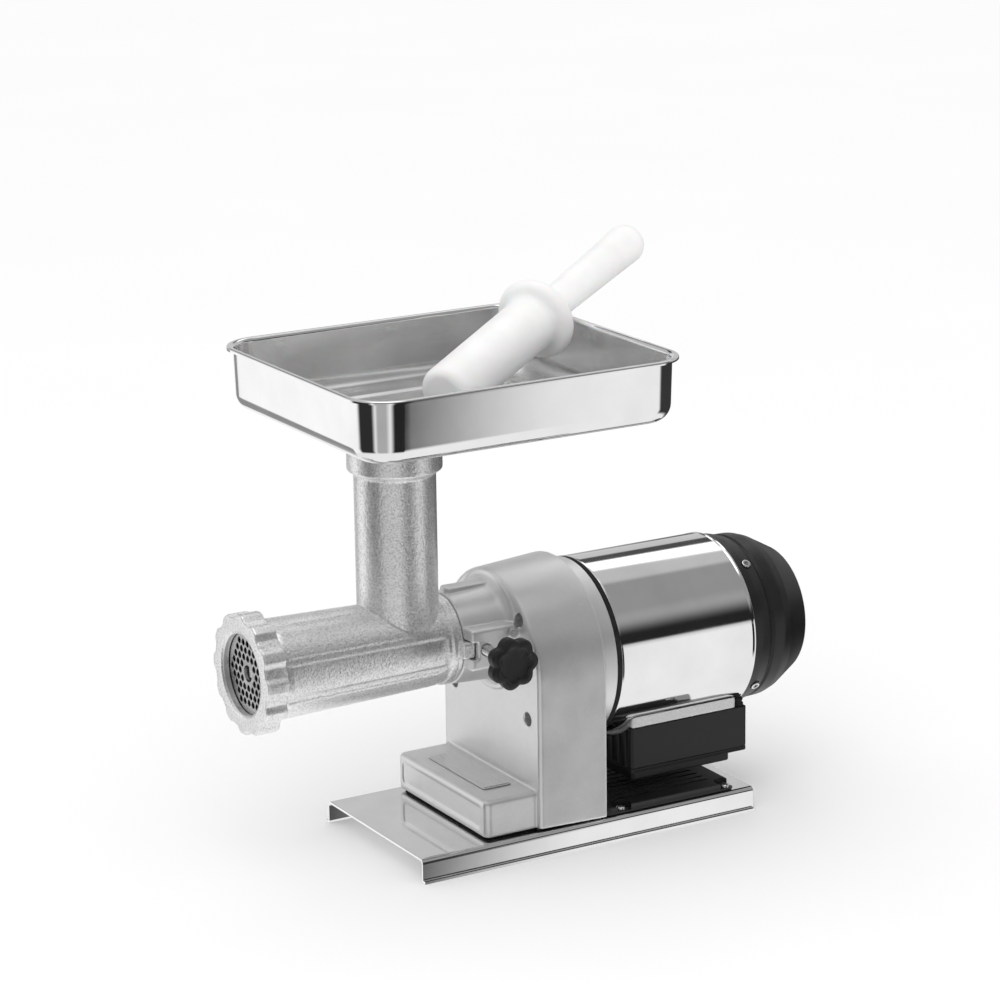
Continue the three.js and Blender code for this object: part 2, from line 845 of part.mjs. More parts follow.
function coolingFan() {
  const hub = turnedX(
    ring(fanFront, fanFront + fanDepth, motorShaftRadius + seat, fanHubRadius),
    0,
    motorAxisHeight,
  );
  const disc = turnedX(ring(fanFront, fanFront + 2, 10, fanRadius), 0, motorAxisHeight, small);
  const blades = Array.from({ length: 6 }, (_, i) => {
    const reach = fanRadius - fanHubRadius + 1.5;
    const blade = new THREE.BoxGeometry(fanDepth - 2, 1.6, reach);
    const height = fanRadius - 0.5 - reach / 2;
    blade.translate(fanFront + 1 + (fanDepth - 2) / 2, 0, height).rotateX((i * Math.PI) / 3);
    return solid(blade.translate(0, 0, motorAxisHeight));
  });
  return join(hub, disc, ...blades);
}

// Moulded rear cap: a screwed band, a groove, a rounded band and a tapering vented end.
const capWall = 2.5;
const grooveX = fanCoverFront + 18.5;
const capScrewX = fanCoverFront + 9.5;
const capScrewAngles = [37, 127, 217, 307];
const capScrewHead = 3.6;
const ventWidth = 4.4;
const ventRim = 7.9; // solid rim outside the vents
const ventMiddle = 29.5; // middle of a vent, from the motor axis
function fanCover() {
  const r = sleeveRadius;
  const end = fanCoverEndRadius;
  const shell = turnedX(
    [
      [fanCoverFront, r - 0.9],
      [fanCoverFront + 8, r - 1.9],
      [grooveX - 2, r - 4.2],
      [grooveX, r - 5.6],
      [grooveX + 2, r - 4.4],
      [grooveX + 12, r - 4.6],
      [grooveX + 21, r - 7.9],
      [fanCoverRear, end],
      [fanCoverRear, 0],
      [fanCoverRear - capWall, 0],
      [fanCoverRear - capWall, end - 3],
      [grooveX, r - 9],
      [fanCoverFront, r - 4.2],
    ],
    0,
    motorAxisHeight,
    medium,
  );
  const vents = Array.from({ length: 12 }, (_, i) => {
    const slot = new THREE.BoxGeometry(capWall + 4, ventWidth, 2 * (end - ventRim - ventMiddle));
    slot.translate(fanCoverRear - capWall / 2, 0, ventMiddle).rotateX((i * Math.PI) / 6);
    return solid(slot.translate(0, 0, motorAxisHeight));
  });
  const holes = capScrewAngles.map((angle) => capScrewCut(angle, coverScrewRadius + seat, 0));
  const sinks = capScrewAngles.map((angle) => capScrewCut(angle, capScrewHead + seat, r - 3.8));
  return cut(shell, ...vents, ...holes, ...sinks);
}
// A radial cylinder at a cap screw, from the given distance off the motor axis outwards.
function capScrewCut(angle, radius, from) {
  const pin = turned(rod(Math.max(from, sleeveRadius - 20), sleeveRadius + 4, radius), 12);
  pin.rotateX(radians(angle)).translate(capScrewX, 0, motorAxisHeight);
  return solid(pin);
}
function capScrew(angle) {
  const top = sleeveRadius - 0.6;
  const head = 3.2;
  const body = turned(
    [
      [sleeveRadius - 12, 0],
      [sleeveRadius - 12, coverScrewRadius],
      [top - head + seat, coverScrewRadius],
      [top - head + seat, capScrewHead],
      [top, capScrewHead],
      [top, 0],
    ],
    12,
  );
  body.rotateX(radians(angle)).translate(capScrewX, 0, motorAxisHeight);
  const socket = turned(rod(top - 1.6, top + 1, 1.9), 6);
  socket.rotateX(radians(angle)).translate(capScrewX, 0, motorAxisHeight);
  return cut(solid(body), solid(socket));
}

// ---- switch box
// The motor lies in a cast saddle. The box hangs under it, and its roof follows the saddle.
const padFront = boxFront + 1;
const padRear = boxRear - 10;
const saddleWall = 4;
const saddleRadius = sleeveRadius + seat + saddleWall;
const boxMiddle = (boxTop + boxBottom) / 2;
const rocker = { x: boxFront + 34, z: boxMiddle - 2, halfLength: 10, halfWidth: 6 };
const gland = { x: boxRear - 30, z: boxMiddle - 2, thread: 7.6, nut: 10.5, bore: 4.2 };

function terminalPad() {
  const outline = roundedRectangle(padFront, padRear, -boxHalfWidth, boxHalfWidth, 3, 3);
  const under = motorAxisHeight - saddleRadius - 1;
  const cradle = turnedX(rod(padFront, padRear, saddleRadius), 0, motorAxisHeight, large).intersect(
    prismZ(outline, under, padTop - 0.4),
  );
  const hollow = turnedX(rod(padFront - 1, padRear + 1, sleeveRadius + seat), 0, motorAxisHeight, large);
  return cut(join(prismZ(outline, padBottom, padTop - 0.4), cradle), hollow);
}

// A rectangle in X and Z around a point, pushed through the box's rear (+Y) wall.
const behindWall = (middle, halfX, halfZ, y0, y1) =>
  box(middle.x - halfX, middle.x + halfX, y0, y1, middle.z - halfZ, middle.z + halfZ);
const boxInside = boxHalfWidth - boxWall;

function switchBox() {
  const outer = prismZ(
    roundedRectangle(boxFront, boxRear, -boxHalfWidth, boxHalfWidth, 2.5, 3),
    boxBottom,
    boxTop,
  );
  const ribs = Array.from({ length: 6 }, (_, i) => {
    const y = (i - 2.5) * 16;
    return box(boxFront - 1.6, boxFront + 1, y - 1, y + 1, boxBottom + 1, boxTop - 3);
  });
  const saddle = (radius) =>
    turnedX(rod(boxFront - 5, boxRear + 5, radius), 0, motorAxisHeight, large);
  const room = box(
    boxFront + boxWall,
    boxRear - boxWall,
    -boxInside,
    boxInside,
    boxBottom - 1,
    boxTop - boxWall,
  );
  const inner = cut(room, saddle(saddleRadius + seat + boxWall));
  const opening = behindWall(
    rocker,
    rocker.halfWidth + 1.5,
    rocker.halfLength + 1.5,
    boxInside - 1,
    boxHalfWidth + 1,
  );
  const glandRod = rod(boxInside - 1, boxHalfWidth + 1, gland.thread + seat);
  const glandHole = turnedY(glandRod, gland.x, gland.z);
  return cut(join(outer, ...ribs), saddle(saddleRadius + seat), inner, opening, glandHole);
}

function boxLid() {
  const flange = prismZ(
    roundedRectangle(boxFront, boxRear, -boxHalfWidth, boxHalfWidth, 2.5, 3),
    lidBottom + lidDepth,
    lidBottom + lidDepth + lidFlange,
  );
  const tray = prismZ(
    roundedRectangle(boxFront + 0.5, boxRear - 16, 0.5 - boxHalfWidth, boxHalfWidth - 0.5, 3, 3),
    lidBottom,
    lidBottom + lidDepth + 1,
  );
  return join(flange, tray);
}

function switchBezel() {
  const frame = (extra, y0, y1) =>
    behindWall(rocker, rocker.halfWidth + extra, rocker.halfLength + extra, y0, y1);
  const body = join(
    frame(3.4, boxHalfWidth + seat, boxHalfWidth + 2.5),
    frame(1.1, boxInside - 2, boxHalfWidth + 1),
  );
  return cut(body, frame(running, boxInside - 3, boxHalfWidth + 3));
}

// The rocker turns about a pivot along X, just behind the box wall.
const rockerPivotY = boxHalfWidth - 1;
function rockerSwitch() {
  const reach = rocker.halfLength - 0.8;
  const outline = [
    [rockerPivotY - 3, rocker.z - reach + 1.5],
    [rockerPivotY + 1.5, rocker.z - reach],
    [rockerPivotY + 5.4, rocker.z - reach + 0.8],
    [rockerPivotY + 3.4, rocker.z],
    [rockerPivotY + 2.4, rocker.z + reach - 0.4],
    [rockerPivotY - 3, rocker.z + reach - 1.5],
  ];
  return prismX(outline, rocker.x - rocker.halfWidth, rocker.x + rocker.halfWidth);
}

function cableGland() {
  const w = boxHalfWidth;
  return turnedY(
    [
      [boxInside - 5, gland.bore],
      [boxInside - 5, gland.thread],
      [w + seat, gland.thread],
      [w + seat, gland.nut],
      [w + 4, gland.nut],
      [w + 5, gland.nut - 1],
      [w + 12, gland.nut - 1.5],
      [w + 15, gland.bore + 2.4],
      [w + 15, gland.bore],
    ],
    gland.x,
    gland.z,
  );
}

// ---- mincing head
const hubHoleRadius = hubRadius + running;
const rearWallFront = barrelRear - 7.6;
const spigotRadius = snoutBore - running;
const washerThickness = 2.9;
const augerRear = rearWallFront - washerThickness - 2 * seat;
const socketRadius = throatRadius + 3.3;
const keyPinRadius = 2;
const knifeHub = 11;
const knifeSquare = 4.2; // half width of the auger's front stud

function barrelLoop(x, base, rise) {
  const step = 360 / barrelBands;
  const shape = [
    [-0.32, 0],
    [-0.26, rise],
    [0.26, rise],
    [0.32, 0],
  ];
  const outline = Array.from({ length: barrelBands }, (_, i) =>
    shape.map(([share, up]) => polar(base + up, (i + share) * step, 0, headAxisHeight)),
  ).flat();
  return uprightLoop(outline, x);
}

function headCasting() {
  const axis = [0, headAxisHeight];
  const bandsEnd = barrelRear - 12;
  const share = (x) => (x - nutRear) / (bandsEnd - nutRear);
  const taper = (x) => THREE.MathUtils.lerp(barrelFrontRadius, barrelRearRadius, share(x));
  const tube = loft([
    barrelLoop(nutRear + 1, taper(nutRear), 0.2),
    barrelLoop(nutRear + 4, taper(nutRear + 4), bandRise),
    barrelLoop(bandsEnd - 3, taper(bandsEnd - 3), bandRise),
    barrelLoop(bandsEnd, taper(bandsEnd), 0.2),
  ]);
  const front = turnedX(rod(barrelFront, nutRear + seat, threadRadius), ...axis, wide);
  const shoulder = turnedX(rod(nutRear, nutRear + 2, barrelFrontRadius + 0.6), ...axis, wide);
  const rearFlange = turnedX(
    [
      [bandsEnd - 1, 0],
      [bandsEnd - 1, barrelRearRadius],
      [barrelRear - 9, barrelRearRadius],
      [barrelRear - 8.4, barrelRearRadius + 1.2],
      [barrelRear - 1, barrelRearRadius + 1.2],
      [barrelRear, barrelRearRadius + 0.4],
      [barrelRear, 0],
    ],
    ...axis,
    wide,
  );
  const spigot = turnedX(rod(barrelRear - 1, snoutFront + spigotLength, spigotRadius), ...axis, medium);
  const lug = box(
    barrelRear - 4,
    snoutFront + lugLength,
    -lugReach,
    3 - barrelRearRadius,
    headAxisHeight - lugHeight / 2,
    headAxisHeight + lugHeight / 2,
  );
  const neck = turnedZ(
    [
      [headAxisHeight, 0],
      [headAxisHeight, neckRadius],
      [neckTop - collarDepth - 3, neckRadius],
      [neckTop - collarDepth - 1, neckRadius + 1.6],
      [neckTop - collarDepth, collarRadius - 1],
      [neckTop - collarDepth + 1.5, collarRadius],
      [neckTop - 1, collarRadius],
      [neckTop, collarRadius - 1],
      [neckTop, 0],
    ],
    neckX,
    0,
  );
  const bore = turnedX(
    [
      [barrelFront - 1, 0],
      [barrelFront - 1, counterboreRadius],
      [augerFront, counterboreRadius],
      [augerFront, boreRadius],
      [rearWallFront, boreRadius],
      [rearWallFront, hubHoleRadius],
      [barrelRear + 0.1, hubHoleRadius],
      [barrelRear + 0.1, spigotRadius - 5.5],
      [snoutFront + spigotLength + 1, spigotRadius - 5.5],
      [snoutFront + spigotLength + 1, 0],
    ],
    ...axis,
    medium,
  );
  const throat = turnedZ(
    [
      [headAxisHeight, 0],
      [headAxisHeight, throatRadius],
      [neckTop - spoutDepth - 2, throatRadius],
      [neckTop - spoutDepth, socketRadius],
      [neckTop + 1, socketRadius],
      [neckTop + 1, 0],
    ],
    neckX,
    0,
  );
  const pinHole = turnedX(
    rod(barrelFront - 1, barrelFront + 12, keyPinRadius + seat),
    0,
    headAxisHeight + plateRadius,
    tiny,
  );
  return cut(join(tube, front, shoulder, rearFlange, spigot, lug, neck), bore, throat, pinHole);
}

function plateKeyPin() {
  return turnedX(
    rod(barrelFront + seat, barrelFront + 11, keyPinRadius),
    0,
    headAxisHeight + plateRadius,
    tiny,
  );
}

function thrustWasher() {
  const x1 = rearWallFront - seat;
  return turnedX(ring(x1 - washerThickness, x1, hubHoleRadius + 0.2, 22), 0, headAxisHeight);
}

// The auger: a core, one helical flight, a rear disc, a round journal, a square tail and a front stud.
function auger() {
  const tip = boreRadius - 0.9;
  const x0 = augerFront + 4;
  const x1 = augerRear - 4;
  const turns = (x1 - x0) / augerPitch;
  const steps = Math.round(turns * 10);
  const loops = Array.from({ length: steps + 1 }, (_, i) => {
    const along = x0 + ((x1 - x0) * i) / steps;
    const angle = (turns * 2 * Math.PI * i) / steps;
    const [cos, sin] = [Math.cos(angle), Math.sin(angle)];
    const place = (radius, shift) =>
      new THREE.Vector3(along + shift, radius * cos, headAxisHeight + radius * sin);
    const root = augerCoreRadius - 3;
    return [place(root, -3.6), place(tip, -1.6), place(tip, 1.6), place(root, 3.6)];
  });
  const flight = loft(loops);
  const core = turnedX(
    [
      [augerFront - 0.1, 0],
      [augerFront - 0.1, augerCoreRadius],
      [augerRear - 6, augerCoreRadius + 1],
      [augerRear - 4, tip],
      [augerRear, tip],
      [augerRear, hubRadius],
      [snoutFront + 9, hubRadius],
      [snoutFront + 9, 0],
    ],
    0,
    headAxisHeight,
  );
  const half = tailSquare / 2;
  const tail = box(
    snoutFront + 8,
    hubFront + tailLength,
    -half,
    half,
    headAxisHeight - half,
    headAxisHeight + half,
  );
  const stud = box(
    holePlateFront - 1,
    augerFront,
    -knifeSquare,
    knifeSquare,
    headAxisHeight - knifeSquare,
    headAxisHeight + knifeSquare,
  );
  return join(core, flight, tail, stud);
}

function knife() {
  const hub = turnedX(rod(knifeFront, knifeRear, knifeHub), 0, headAxisHeight, small);
  const blades = Array.from({ length: 4 }, (_, i) => {
    const blade = prismX(
      [
        [-5, 4],
        [5, 4],
        [6.5, plateRadius - 3],
        [-3, plateRadius - 3],
      ],
      knifeFront,
      knifeRear - 2,
    );
    return blade.rotate([90 * i, 0, 0]).translate([0, 0, headAxisHeight]);
  });
  const half = knifeSquare + seat;
  const [low, high] = [headAxisHeight - half, headAxisHeight + half];
  const square = box(knifeFront - 1, knifeRear + 1, -half, half, low, high);
  return cut(join(hub, ...blades), square);
}

function holePlate() {
  const disc = turnedX(rod(holePlateFront, holePlateRear, plateRadius), 0, headAxisHeight, wide);
  const centre = turnedX(
    rod(holePlateFront - 1, holePlateRear + 1, knifeSquare * Math.SQRT2 + running),
    0,
    headAxisHeight,
    small,
  );
  const holes = [];
  const rows = Math.floor(plateRadius / holePitch) + 1;
  for (let row = -rows; row <= rows; row++)
    for (let column = -rows; column <= rows; column++) {
      const y = (column + (row % 2) / 2) * holePitch;
      const z = row * holePitch * Math.sin(Math.PI / 3);
      const off = Math.hypot(y, z);
      if (off > nutOpeningRadius - holeDiameter / 2 - 0.4 || off < knifeHub - 1) continue;
      const outline = polygon(6, holeDiameter / 2, y, headAxisHeight + z, 30);
      holes.push(prismX(outline, holePlateFront - 1, holePlateRear + 1));
    }
  const notch = turnedX(
    rod(holePlateFront - 1, holePlateRear + 1, keyPinRadius + running),
    0,
    headAxisHeight + plateRadius,
    tiny,
  );
  return cut(disc, centre, notch, ...holes);
}

function ringNut() {
  const steps = nutLobes * 4;
  const loop = (x, inset) =>
    uprightLoop(
      Array.from({ length: steps }, (_, i) => {
        const wave = Math.abs(Math.cos((i * Math.PI * nutLobes) / steps)) ** 0.7;
        const radius = nutValleyRadius + (nutLobeRadius - nutValleyRadius) * wave - inset;
        return polar(radius, (360 * i) / steps, 0, headAxisHeight);
      }),
      x,
    );
  const body = loft([loop(nutFront, 1), loop(nutFront + 1, 0), loop(nutRear, 0)]);
  const bore = turnedX(
    [
      [nutFront - 1, 0],
      [nutFront - 1, nutOpeningRadius + 1],
      [nutFront + 1, nutOpeningRadius],
      [nutFront + nutLipThickness, nutOpeningRadius],
      [nutFront + nutLipThickness, nutBore],
      [nutRear + 1, nutBore],
      [nutRear + 1, 0],
    ],
    0,
    headAxisHeight,
    wide,
  );
  return cut(body, bore);
}

// ---- clamp
const studTip = -(spigotRadius + 0.9);
const knobBack = -(clampPadReach + knobClearance);
const knobFront = knobBack - knobThickness;
function clampStud() {
  return turnedY(rod(knobBack - 10, studTip, studRadius), studX, headAxisHeight);
}
function clampKnob() {
  const steps = knobLobes * 5;
  const loop = (y, inset) =>
    Array.from({ length: steps }, (_, i) => {
      const wave = (1 + Math.cos((2 * Math.PI * knobLobes * i) / steps)) / 2;
      const radius = knobRadius - inset - 2.6 * (1 - wave);
      const [a, b] = polar(radius, (360 * i) / steps, studX, headAxisHeight);
      return new THREE.Vector3(a, y, b);
    });
  const grip = loft([
    loop(knobFront, 3.4),
    loop(knobFront + 1.4, 1),
    loop(knobFront + 4, 0),
    loop(knobBack - 8, 0.4),
    loop(knobBack - 5, 3),
  ]);
  const collar = turnedY(rod(knobBack - 7, knobBack, 9.5), studX, headAxisHeight);
  const bore = turnedY(rod(knobBack - 10.6, knobBack + 1, studRadius + seat), studX, headAxisHeight);
  return cut(join(grip, collar), bore);
}

// ---- tray and pusher
function trayPan() {
  const outline = (inset) =>
    roundedRectangle(
      trayMiddle - trayLength / 2 + inset,
      trayMiddle + trayLength / 2 - inset,
      inset - trayHalfWidth,
      trayHalfWidth - inset,
      Math.max(4, trayCorner - inset),
      4,
    );
  const foot = trayRim + trayDraft;
  const band = trayBottom + trayPanelDrop;
  const panelInset = 31; // the sunken panel of the floor
  const panelStep = 3;
  const t = traySheet;
  const fold = [0, 30, 60, 90]; // degrees round the fold, from the floor up to the wall
  const foldPoint = (angle, radius) => {
    const [across, down] = [radius * Math.sin(radians(angle)), radius * Math.cos(radians(angle))];
    return [foot + trayFold - across, band + trayFold - down];
  };
  const outer = [
    [foot + panelInset + panelStep, trayBottom],
    [foot + panelInset, band],
    ...fold.map((angle) => foldPoint(angle, trayFold)),
    [trayRim, trayTop - 2.6],
    [trayRim - 1, trayTop - 1.2],
    [0, trayTop - 1.2],
  ];
  const inner = [
    [0, trayTop],
    [trayRim - 0.4, trayTop],
    [trayRim + t, trayTop - 2],
    ...fold.toReversed().map((angle) => foldPoint(angle, trayFold - t)),
    [foot + panelInset, band + t],
    [foot + panelInset + panelStep, trayBottom + t],
  ];
  const pan = loft([...outer, ...inner].map(([inset, z]) => levelLoop(outline(inset), z)));
  const spoutOuter = socketRadius - running - 0.1;
  const spout = turnedZ(
    ring(neckTop - spoutDepth + 1, trayBottom + t, spoutOuter - t, spoutOuter),
    neckX,
    0,
  );
  const opening = turnedZ(rod(trayBottom - 1, trayBottom + t + 1, spoutOuter - t), neckX, 0);
  return join(cut(pan, opening), spout);
}

// The pusher stands with its tip on the tray floor and leans with its handle on the rear rim.
const pusherTip = {
  x: neckX + pusherTipFromNeck[0],
  y: pusherTipFromNeck[1],
};
const pusherRun = (trayRear - pusherTip.x) / Math.cos(radians(pusherYaw));
const pusherRimGap = 2.7; // clear of the rim, for the handle's swell
const pusherRestHeight = trayTop + pusherHandleRadius + pusherRimGap;
const pusherRise = pusherRestHeight - (trayBottom + traySheet + pusherBodyRadius);
const pusherPitch = Math.atan2(pusherRise, pusherRun);
function pusher() {
  const b = pusherBodyRadius;
  const d = pusherDiscRadius;
  const h = pusherHandleRadius;
  const e = pusherEndRadius;
  const disc = pusherBodyLength;
  const discEnd = disc + pusherDiscThickness;
  const profile = [
    [0, 0],
    [0, b - 4],
    [1.2, b - 1.4],
    [4, b],
    [disc - 2, b + 0.6],
    [disc, b + 4],
    [disc + 2.5, d - 4],
    [disc + 5, d - 1],
    [disc + 8, d],
    [disc + 11, d - 1],
    [disc + 14, d - 5],
    [discEnd - 2, h + 8],
    [discEnd, h + 1],
    [discEnd + 5, h],
    [pusherLength - 30, e - 0.6],
    [pusherLength - 14, e],
    [pusherLength - 6, e - 2.6],
    [pusherLength - 1.6, e - 8],
    [pusherLength, 0],
  ];
  const geometry = turned(profile, small).rotateZ(-Math.PI / 2);
  geometry.rotateY(-pusherPitch).rotateZ(radians(pusherYaw));
  const lift = pusherBodyRadius * Math.cos(pusherPitch) + traySheet + 2 * seat;
  geometry.translate(pusherTip.x, pusherTip.y, trayBottom + lift);
  return solid(geometry);
}

// ---------------------------------------------------------------- naming every piece
add("base_plate", basePlate(), polishedSteel);
add("base_gasket", baseGasket(), blackRubber);
gearcaseBolts.forEach(([x, y], i) => add(`gearcase_bolt_${i + 1}`, gearcaseBolt(x, y), zincScrew));
add("base_cover", baseCover(), blackPlastic);
coverScrews.forEach(([x, y], i) => add(`cover_screw_${i + 1}`, coverScrew(x, y), zincScrew));

add("gearcase", gearcase(), castAluminium);
add("nameplate", namePlate(), castAluminium);
caseScrewAngles.forEach((angle, i) => {
  const [y, z] = polar(caseScrewCircle, angle, 0, motorAxisHeight);
  const screw = socketScrew(caseFront + 6, flangeFront + 9, 2.5, 4.6, 5.6, y, z);
  add(`case_screw_${i + 1}`, screw, zincScrew);
});
add("output_shaft", outputShaft(), machinedSteel);
add("output_gear", outputGear(), machinedSteel);
const sealRing = ring(bearingSeat - sealWidth - seat, bearingSeat - seat, hubRadius + seat, sealRadius);
add("shaft_seal", turnedX(sealRing, 0, headAxisHeight, small), blackRubber);
add(
  "front_bearing",
  turnedX(
    ring(bearingSeat + seat, bearingSeat + frontBearingWidth, hubRadius + seat, frontBearingRadius),
    0,
    headAxisHeight,
    small,
  ),
  machinedSteel,
);
const rearRing = ring(bossFront, bossFront + 10, outputShaftRadius + seat, rearBearingRadius);
add("rear_bearing", turnedX(rearRing, 0, headAxisHeight, small), machinedSteel);
add("countershaft", countershaft(), machinedSteel);
add("intermediate_gear", intermediateGear(), machinedSteel);

add("motor_flange", motorFlange(), castAluminium);
add(
  "flange_gasket",
  turnedX(
    ring(flangeRear + seat, flangeRear + seat + gasketRingDepth, sleeveRadius - 6, sleeveRadius + 0.4),
    0,
    motorAxisHeight,
    wide,
  ),
  blackRubber,
);
add(
  "motor_sleeve",
  turnedX(ring(sleeveFront, sleeveRear, sleeveRadius - sleeveSheet, sleeveRadius), 0, motorAxisHeight, large),
  polishedSteel,
);
add(
  "stator_core",
  turnedX(ring(coreFront, coreRear, rotorRadius + 0.8, statorRadius), 0, motorAxisHeight),
  machinedSteel,
);
for (const [name, x0] of [
  ["front_winding", coreFront - seat - windingDepth],
  ["rear_winding", coreRear + seat],
])
  add(
    name,
    turnedX(
      [
        [x0, rotorRadius + 4],
        [x0, statorRadius - 10],
        [x0 + windingDepth / 2, statorRadius - 5],
        [x0 + windingDepth, statorRadius - 10],
        [x0 + windingDepth, rotorRadius + 4],
      ],
      0,
      motorAxisHeight,
    ),
    copper,
  );
add(
  "rotor",
  turnedX(ring(coreFront - 6, coreRear + 6, motorShaftRadius + seat, rotorRadius), 0, motorAxisHeight),
  machinedSteel,
);
add("motor_shaft", motorShaft(), machinedSteel);
add(
  "motor_front_bearing",
  turnedX(
    ring(flangeFront + 3 + seat, flangeRear - 1, motorShaftRadius + seat, motorBearingRadius),
    0,
    motorAxisHeight,
    small,
  ),
  machinedSteel,
);
add(
  "rear_shield",
  cut(
    turnedX(
      ring(rearShieldFront, rearShieldFront + rearShieldDepth, motorShaftRadius + running, shieldRadius),
      0,
      motorAxisHeight,
      medium,
    ),
    turnedX(
      rod(rearShieldFront - 1, rearShieldFront + 9, motorBearingRadius + seat),
      0,
      motorAxisHeight,
      small,
    ),
  ),
  castAluminium,
);
add(
  "motor_rear_bearing",
  turnedX(
    ring(rearShieldFront, rearShieldFront + 8.6, motorShaftRadius + seat, motorBearingRadius),
    0,
    motorAxisHeight,
    small,
  ),
  machinedSteel,
);
add("cooling_fan", coolingFan(), blackPlastic);
add("fan_cover", fanCover(), blackPlastic);
capScrewAngles.forEach((angle, i) => add(`fan_cover_screw_${i + 1}`, capScrew(angle), zincScrew));

add("terminal_pad", terminalPad(), castAluminium);
add("switch_box", switchBox(), blackPlastic);
add("box_lid", boxLid(), blackPlastic);
add(
  "capacitor",
  turnedX(rod(boxFront + 14, boxFront + 74, 8), -36, boxBottom + 11, small),
  whitePlastic,
);
add("switch_bezel", switchBezel(), blackPlastic);
add("rocker_switch", rockerSwitch(), blackPlastic);
add("cable_gland", cableGland(), blackPlastic);

add("head_casting", headCasting(), tinnedIron);
add("plate_key_pin", plateKeyPin(), machinedSteel);
add("thrust_washer", thrustWasher(), bronze);
add("auger", auger(), tinnedIron);
add("knife", knife(), machinedSteel);
add("hole_plate", holePlate(), machinedSteel);
add("ring_nut", ringNut(), tinnedIron);
add("clamp_stud", clampStud(), zincScrew);
add("clamp_knob", clampKnob(), blackPlastic);
add("tray", trayPan(), polishedSteel);
add("pusher", pusher(), whitePlastic);

// The frame's origin is on the table, under the middle of the whole machine's box.
const extent = new THREE.Box3().setFromObject(machine);
machine.position.set(-(extent.min.x + extent.max.x) / 2, -(extent.min.y + extent.max.y) / 2, 0);
const assembly = new THREE.Group();
assembly.add(machine);
export default assembly;
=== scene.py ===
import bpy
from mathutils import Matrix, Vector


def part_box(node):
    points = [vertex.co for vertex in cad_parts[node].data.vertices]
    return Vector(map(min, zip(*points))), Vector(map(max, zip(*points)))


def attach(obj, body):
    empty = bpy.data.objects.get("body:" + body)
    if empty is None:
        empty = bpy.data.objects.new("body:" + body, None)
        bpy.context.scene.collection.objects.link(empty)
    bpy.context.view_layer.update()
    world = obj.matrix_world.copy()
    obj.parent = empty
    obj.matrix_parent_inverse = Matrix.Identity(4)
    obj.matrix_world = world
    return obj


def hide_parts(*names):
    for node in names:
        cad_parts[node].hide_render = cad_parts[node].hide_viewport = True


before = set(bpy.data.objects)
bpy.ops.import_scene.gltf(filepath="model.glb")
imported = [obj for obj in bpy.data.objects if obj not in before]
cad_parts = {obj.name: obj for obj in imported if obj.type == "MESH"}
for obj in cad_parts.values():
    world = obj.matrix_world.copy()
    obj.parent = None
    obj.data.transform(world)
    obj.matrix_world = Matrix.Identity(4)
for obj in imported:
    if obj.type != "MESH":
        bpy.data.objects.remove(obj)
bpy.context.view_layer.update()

import math

import bmesh
import bpy
from mathutils import Matrix, Vector, noise

# An electric meat grinder. Sizes are millimetres and degrees, and meshes are written in metres.
# X runs from the mincing head to the motor, and the camera stands on the -Y side.
MM = 0.001


def span(node, axis):
    """The lowest and highest place of a CAD node along an axis, in millimetres."""
    low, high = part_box(node)
    return low[axis] / MM, high[axis] / MM


def middle(node, axis):
    low, high = span(node, axis)
    return (low + high) / 2


# ---------------------------------------------------------------- places taken from the frame
CASE_REAR = span("gearcase", 0)[1]
CASE_DEPTH = 58
CASE_FRONT = CASE_REAR - CASE_DEPTH
SNOUT_LENGTH = 41.6
SNOUT_FRONT = CASE_FRONT - SNOUT_LENGTH
FOOT_FRONT = span("gearcase", 0)[0]
FOOT_BOTTOM = span("gearcase", 2)[0]
MOTOR_Z = middle("motor_flange", 2)
HEAD_Z = middle("hole_plate", 2)
NECK_X = SNOUT_FRONT - 37.7
HEAD_AXIS = (0, 0, HEAD_Z)
MOTOR_AXIS = (0, 0, MOTOR_Z)
PLATE_TOP = span("base_plate", 2)[1]
FOOT_TOP = FOOT_BOTTOM + 29.4
FOOT_HALF = 69
CASE_FRONT_RADIUS = 73.4
CASE_REAR_RADIUS = span("gearcase", 1)[1]
SNOUT_RADIUS = 36
SNOUT_BORE = 29.9
CASE_SCREW_CIRCLE = 64.2
CASE_SCREW_ANGLES = (135.3, 208.9, -28.9, 44.7)
NUT_FRONT, NUT_REAR = span("ring_nut", 0)
HOLE_PLATE_FRONT, HOLE_PLATE_REAR = span("hole_plate", 0)
BARREL_REAR = SNOUT_FRONT - 0.3
NECK_TOP = span("head_casting", 2)[1]
TRAY_BOTTOM = NECK_TOP + 0.3
SLEEVE_FRONT, SLEEVE_REAR = span("motor_sleeve", 0)
SLEEVE_RADIUS = 70.5
CAP_FRONT, CAP_REAR = span("fan_cover", 0)
BOX_HALF = 52


# ---------------------------------------------------------------- outlines
def on_circle(radius, degrees, a=0.0, b=0.0):
    turn = math.radians(degrees)
    return a + radius * math.cos(turn), b + radius * math.sin(turn)


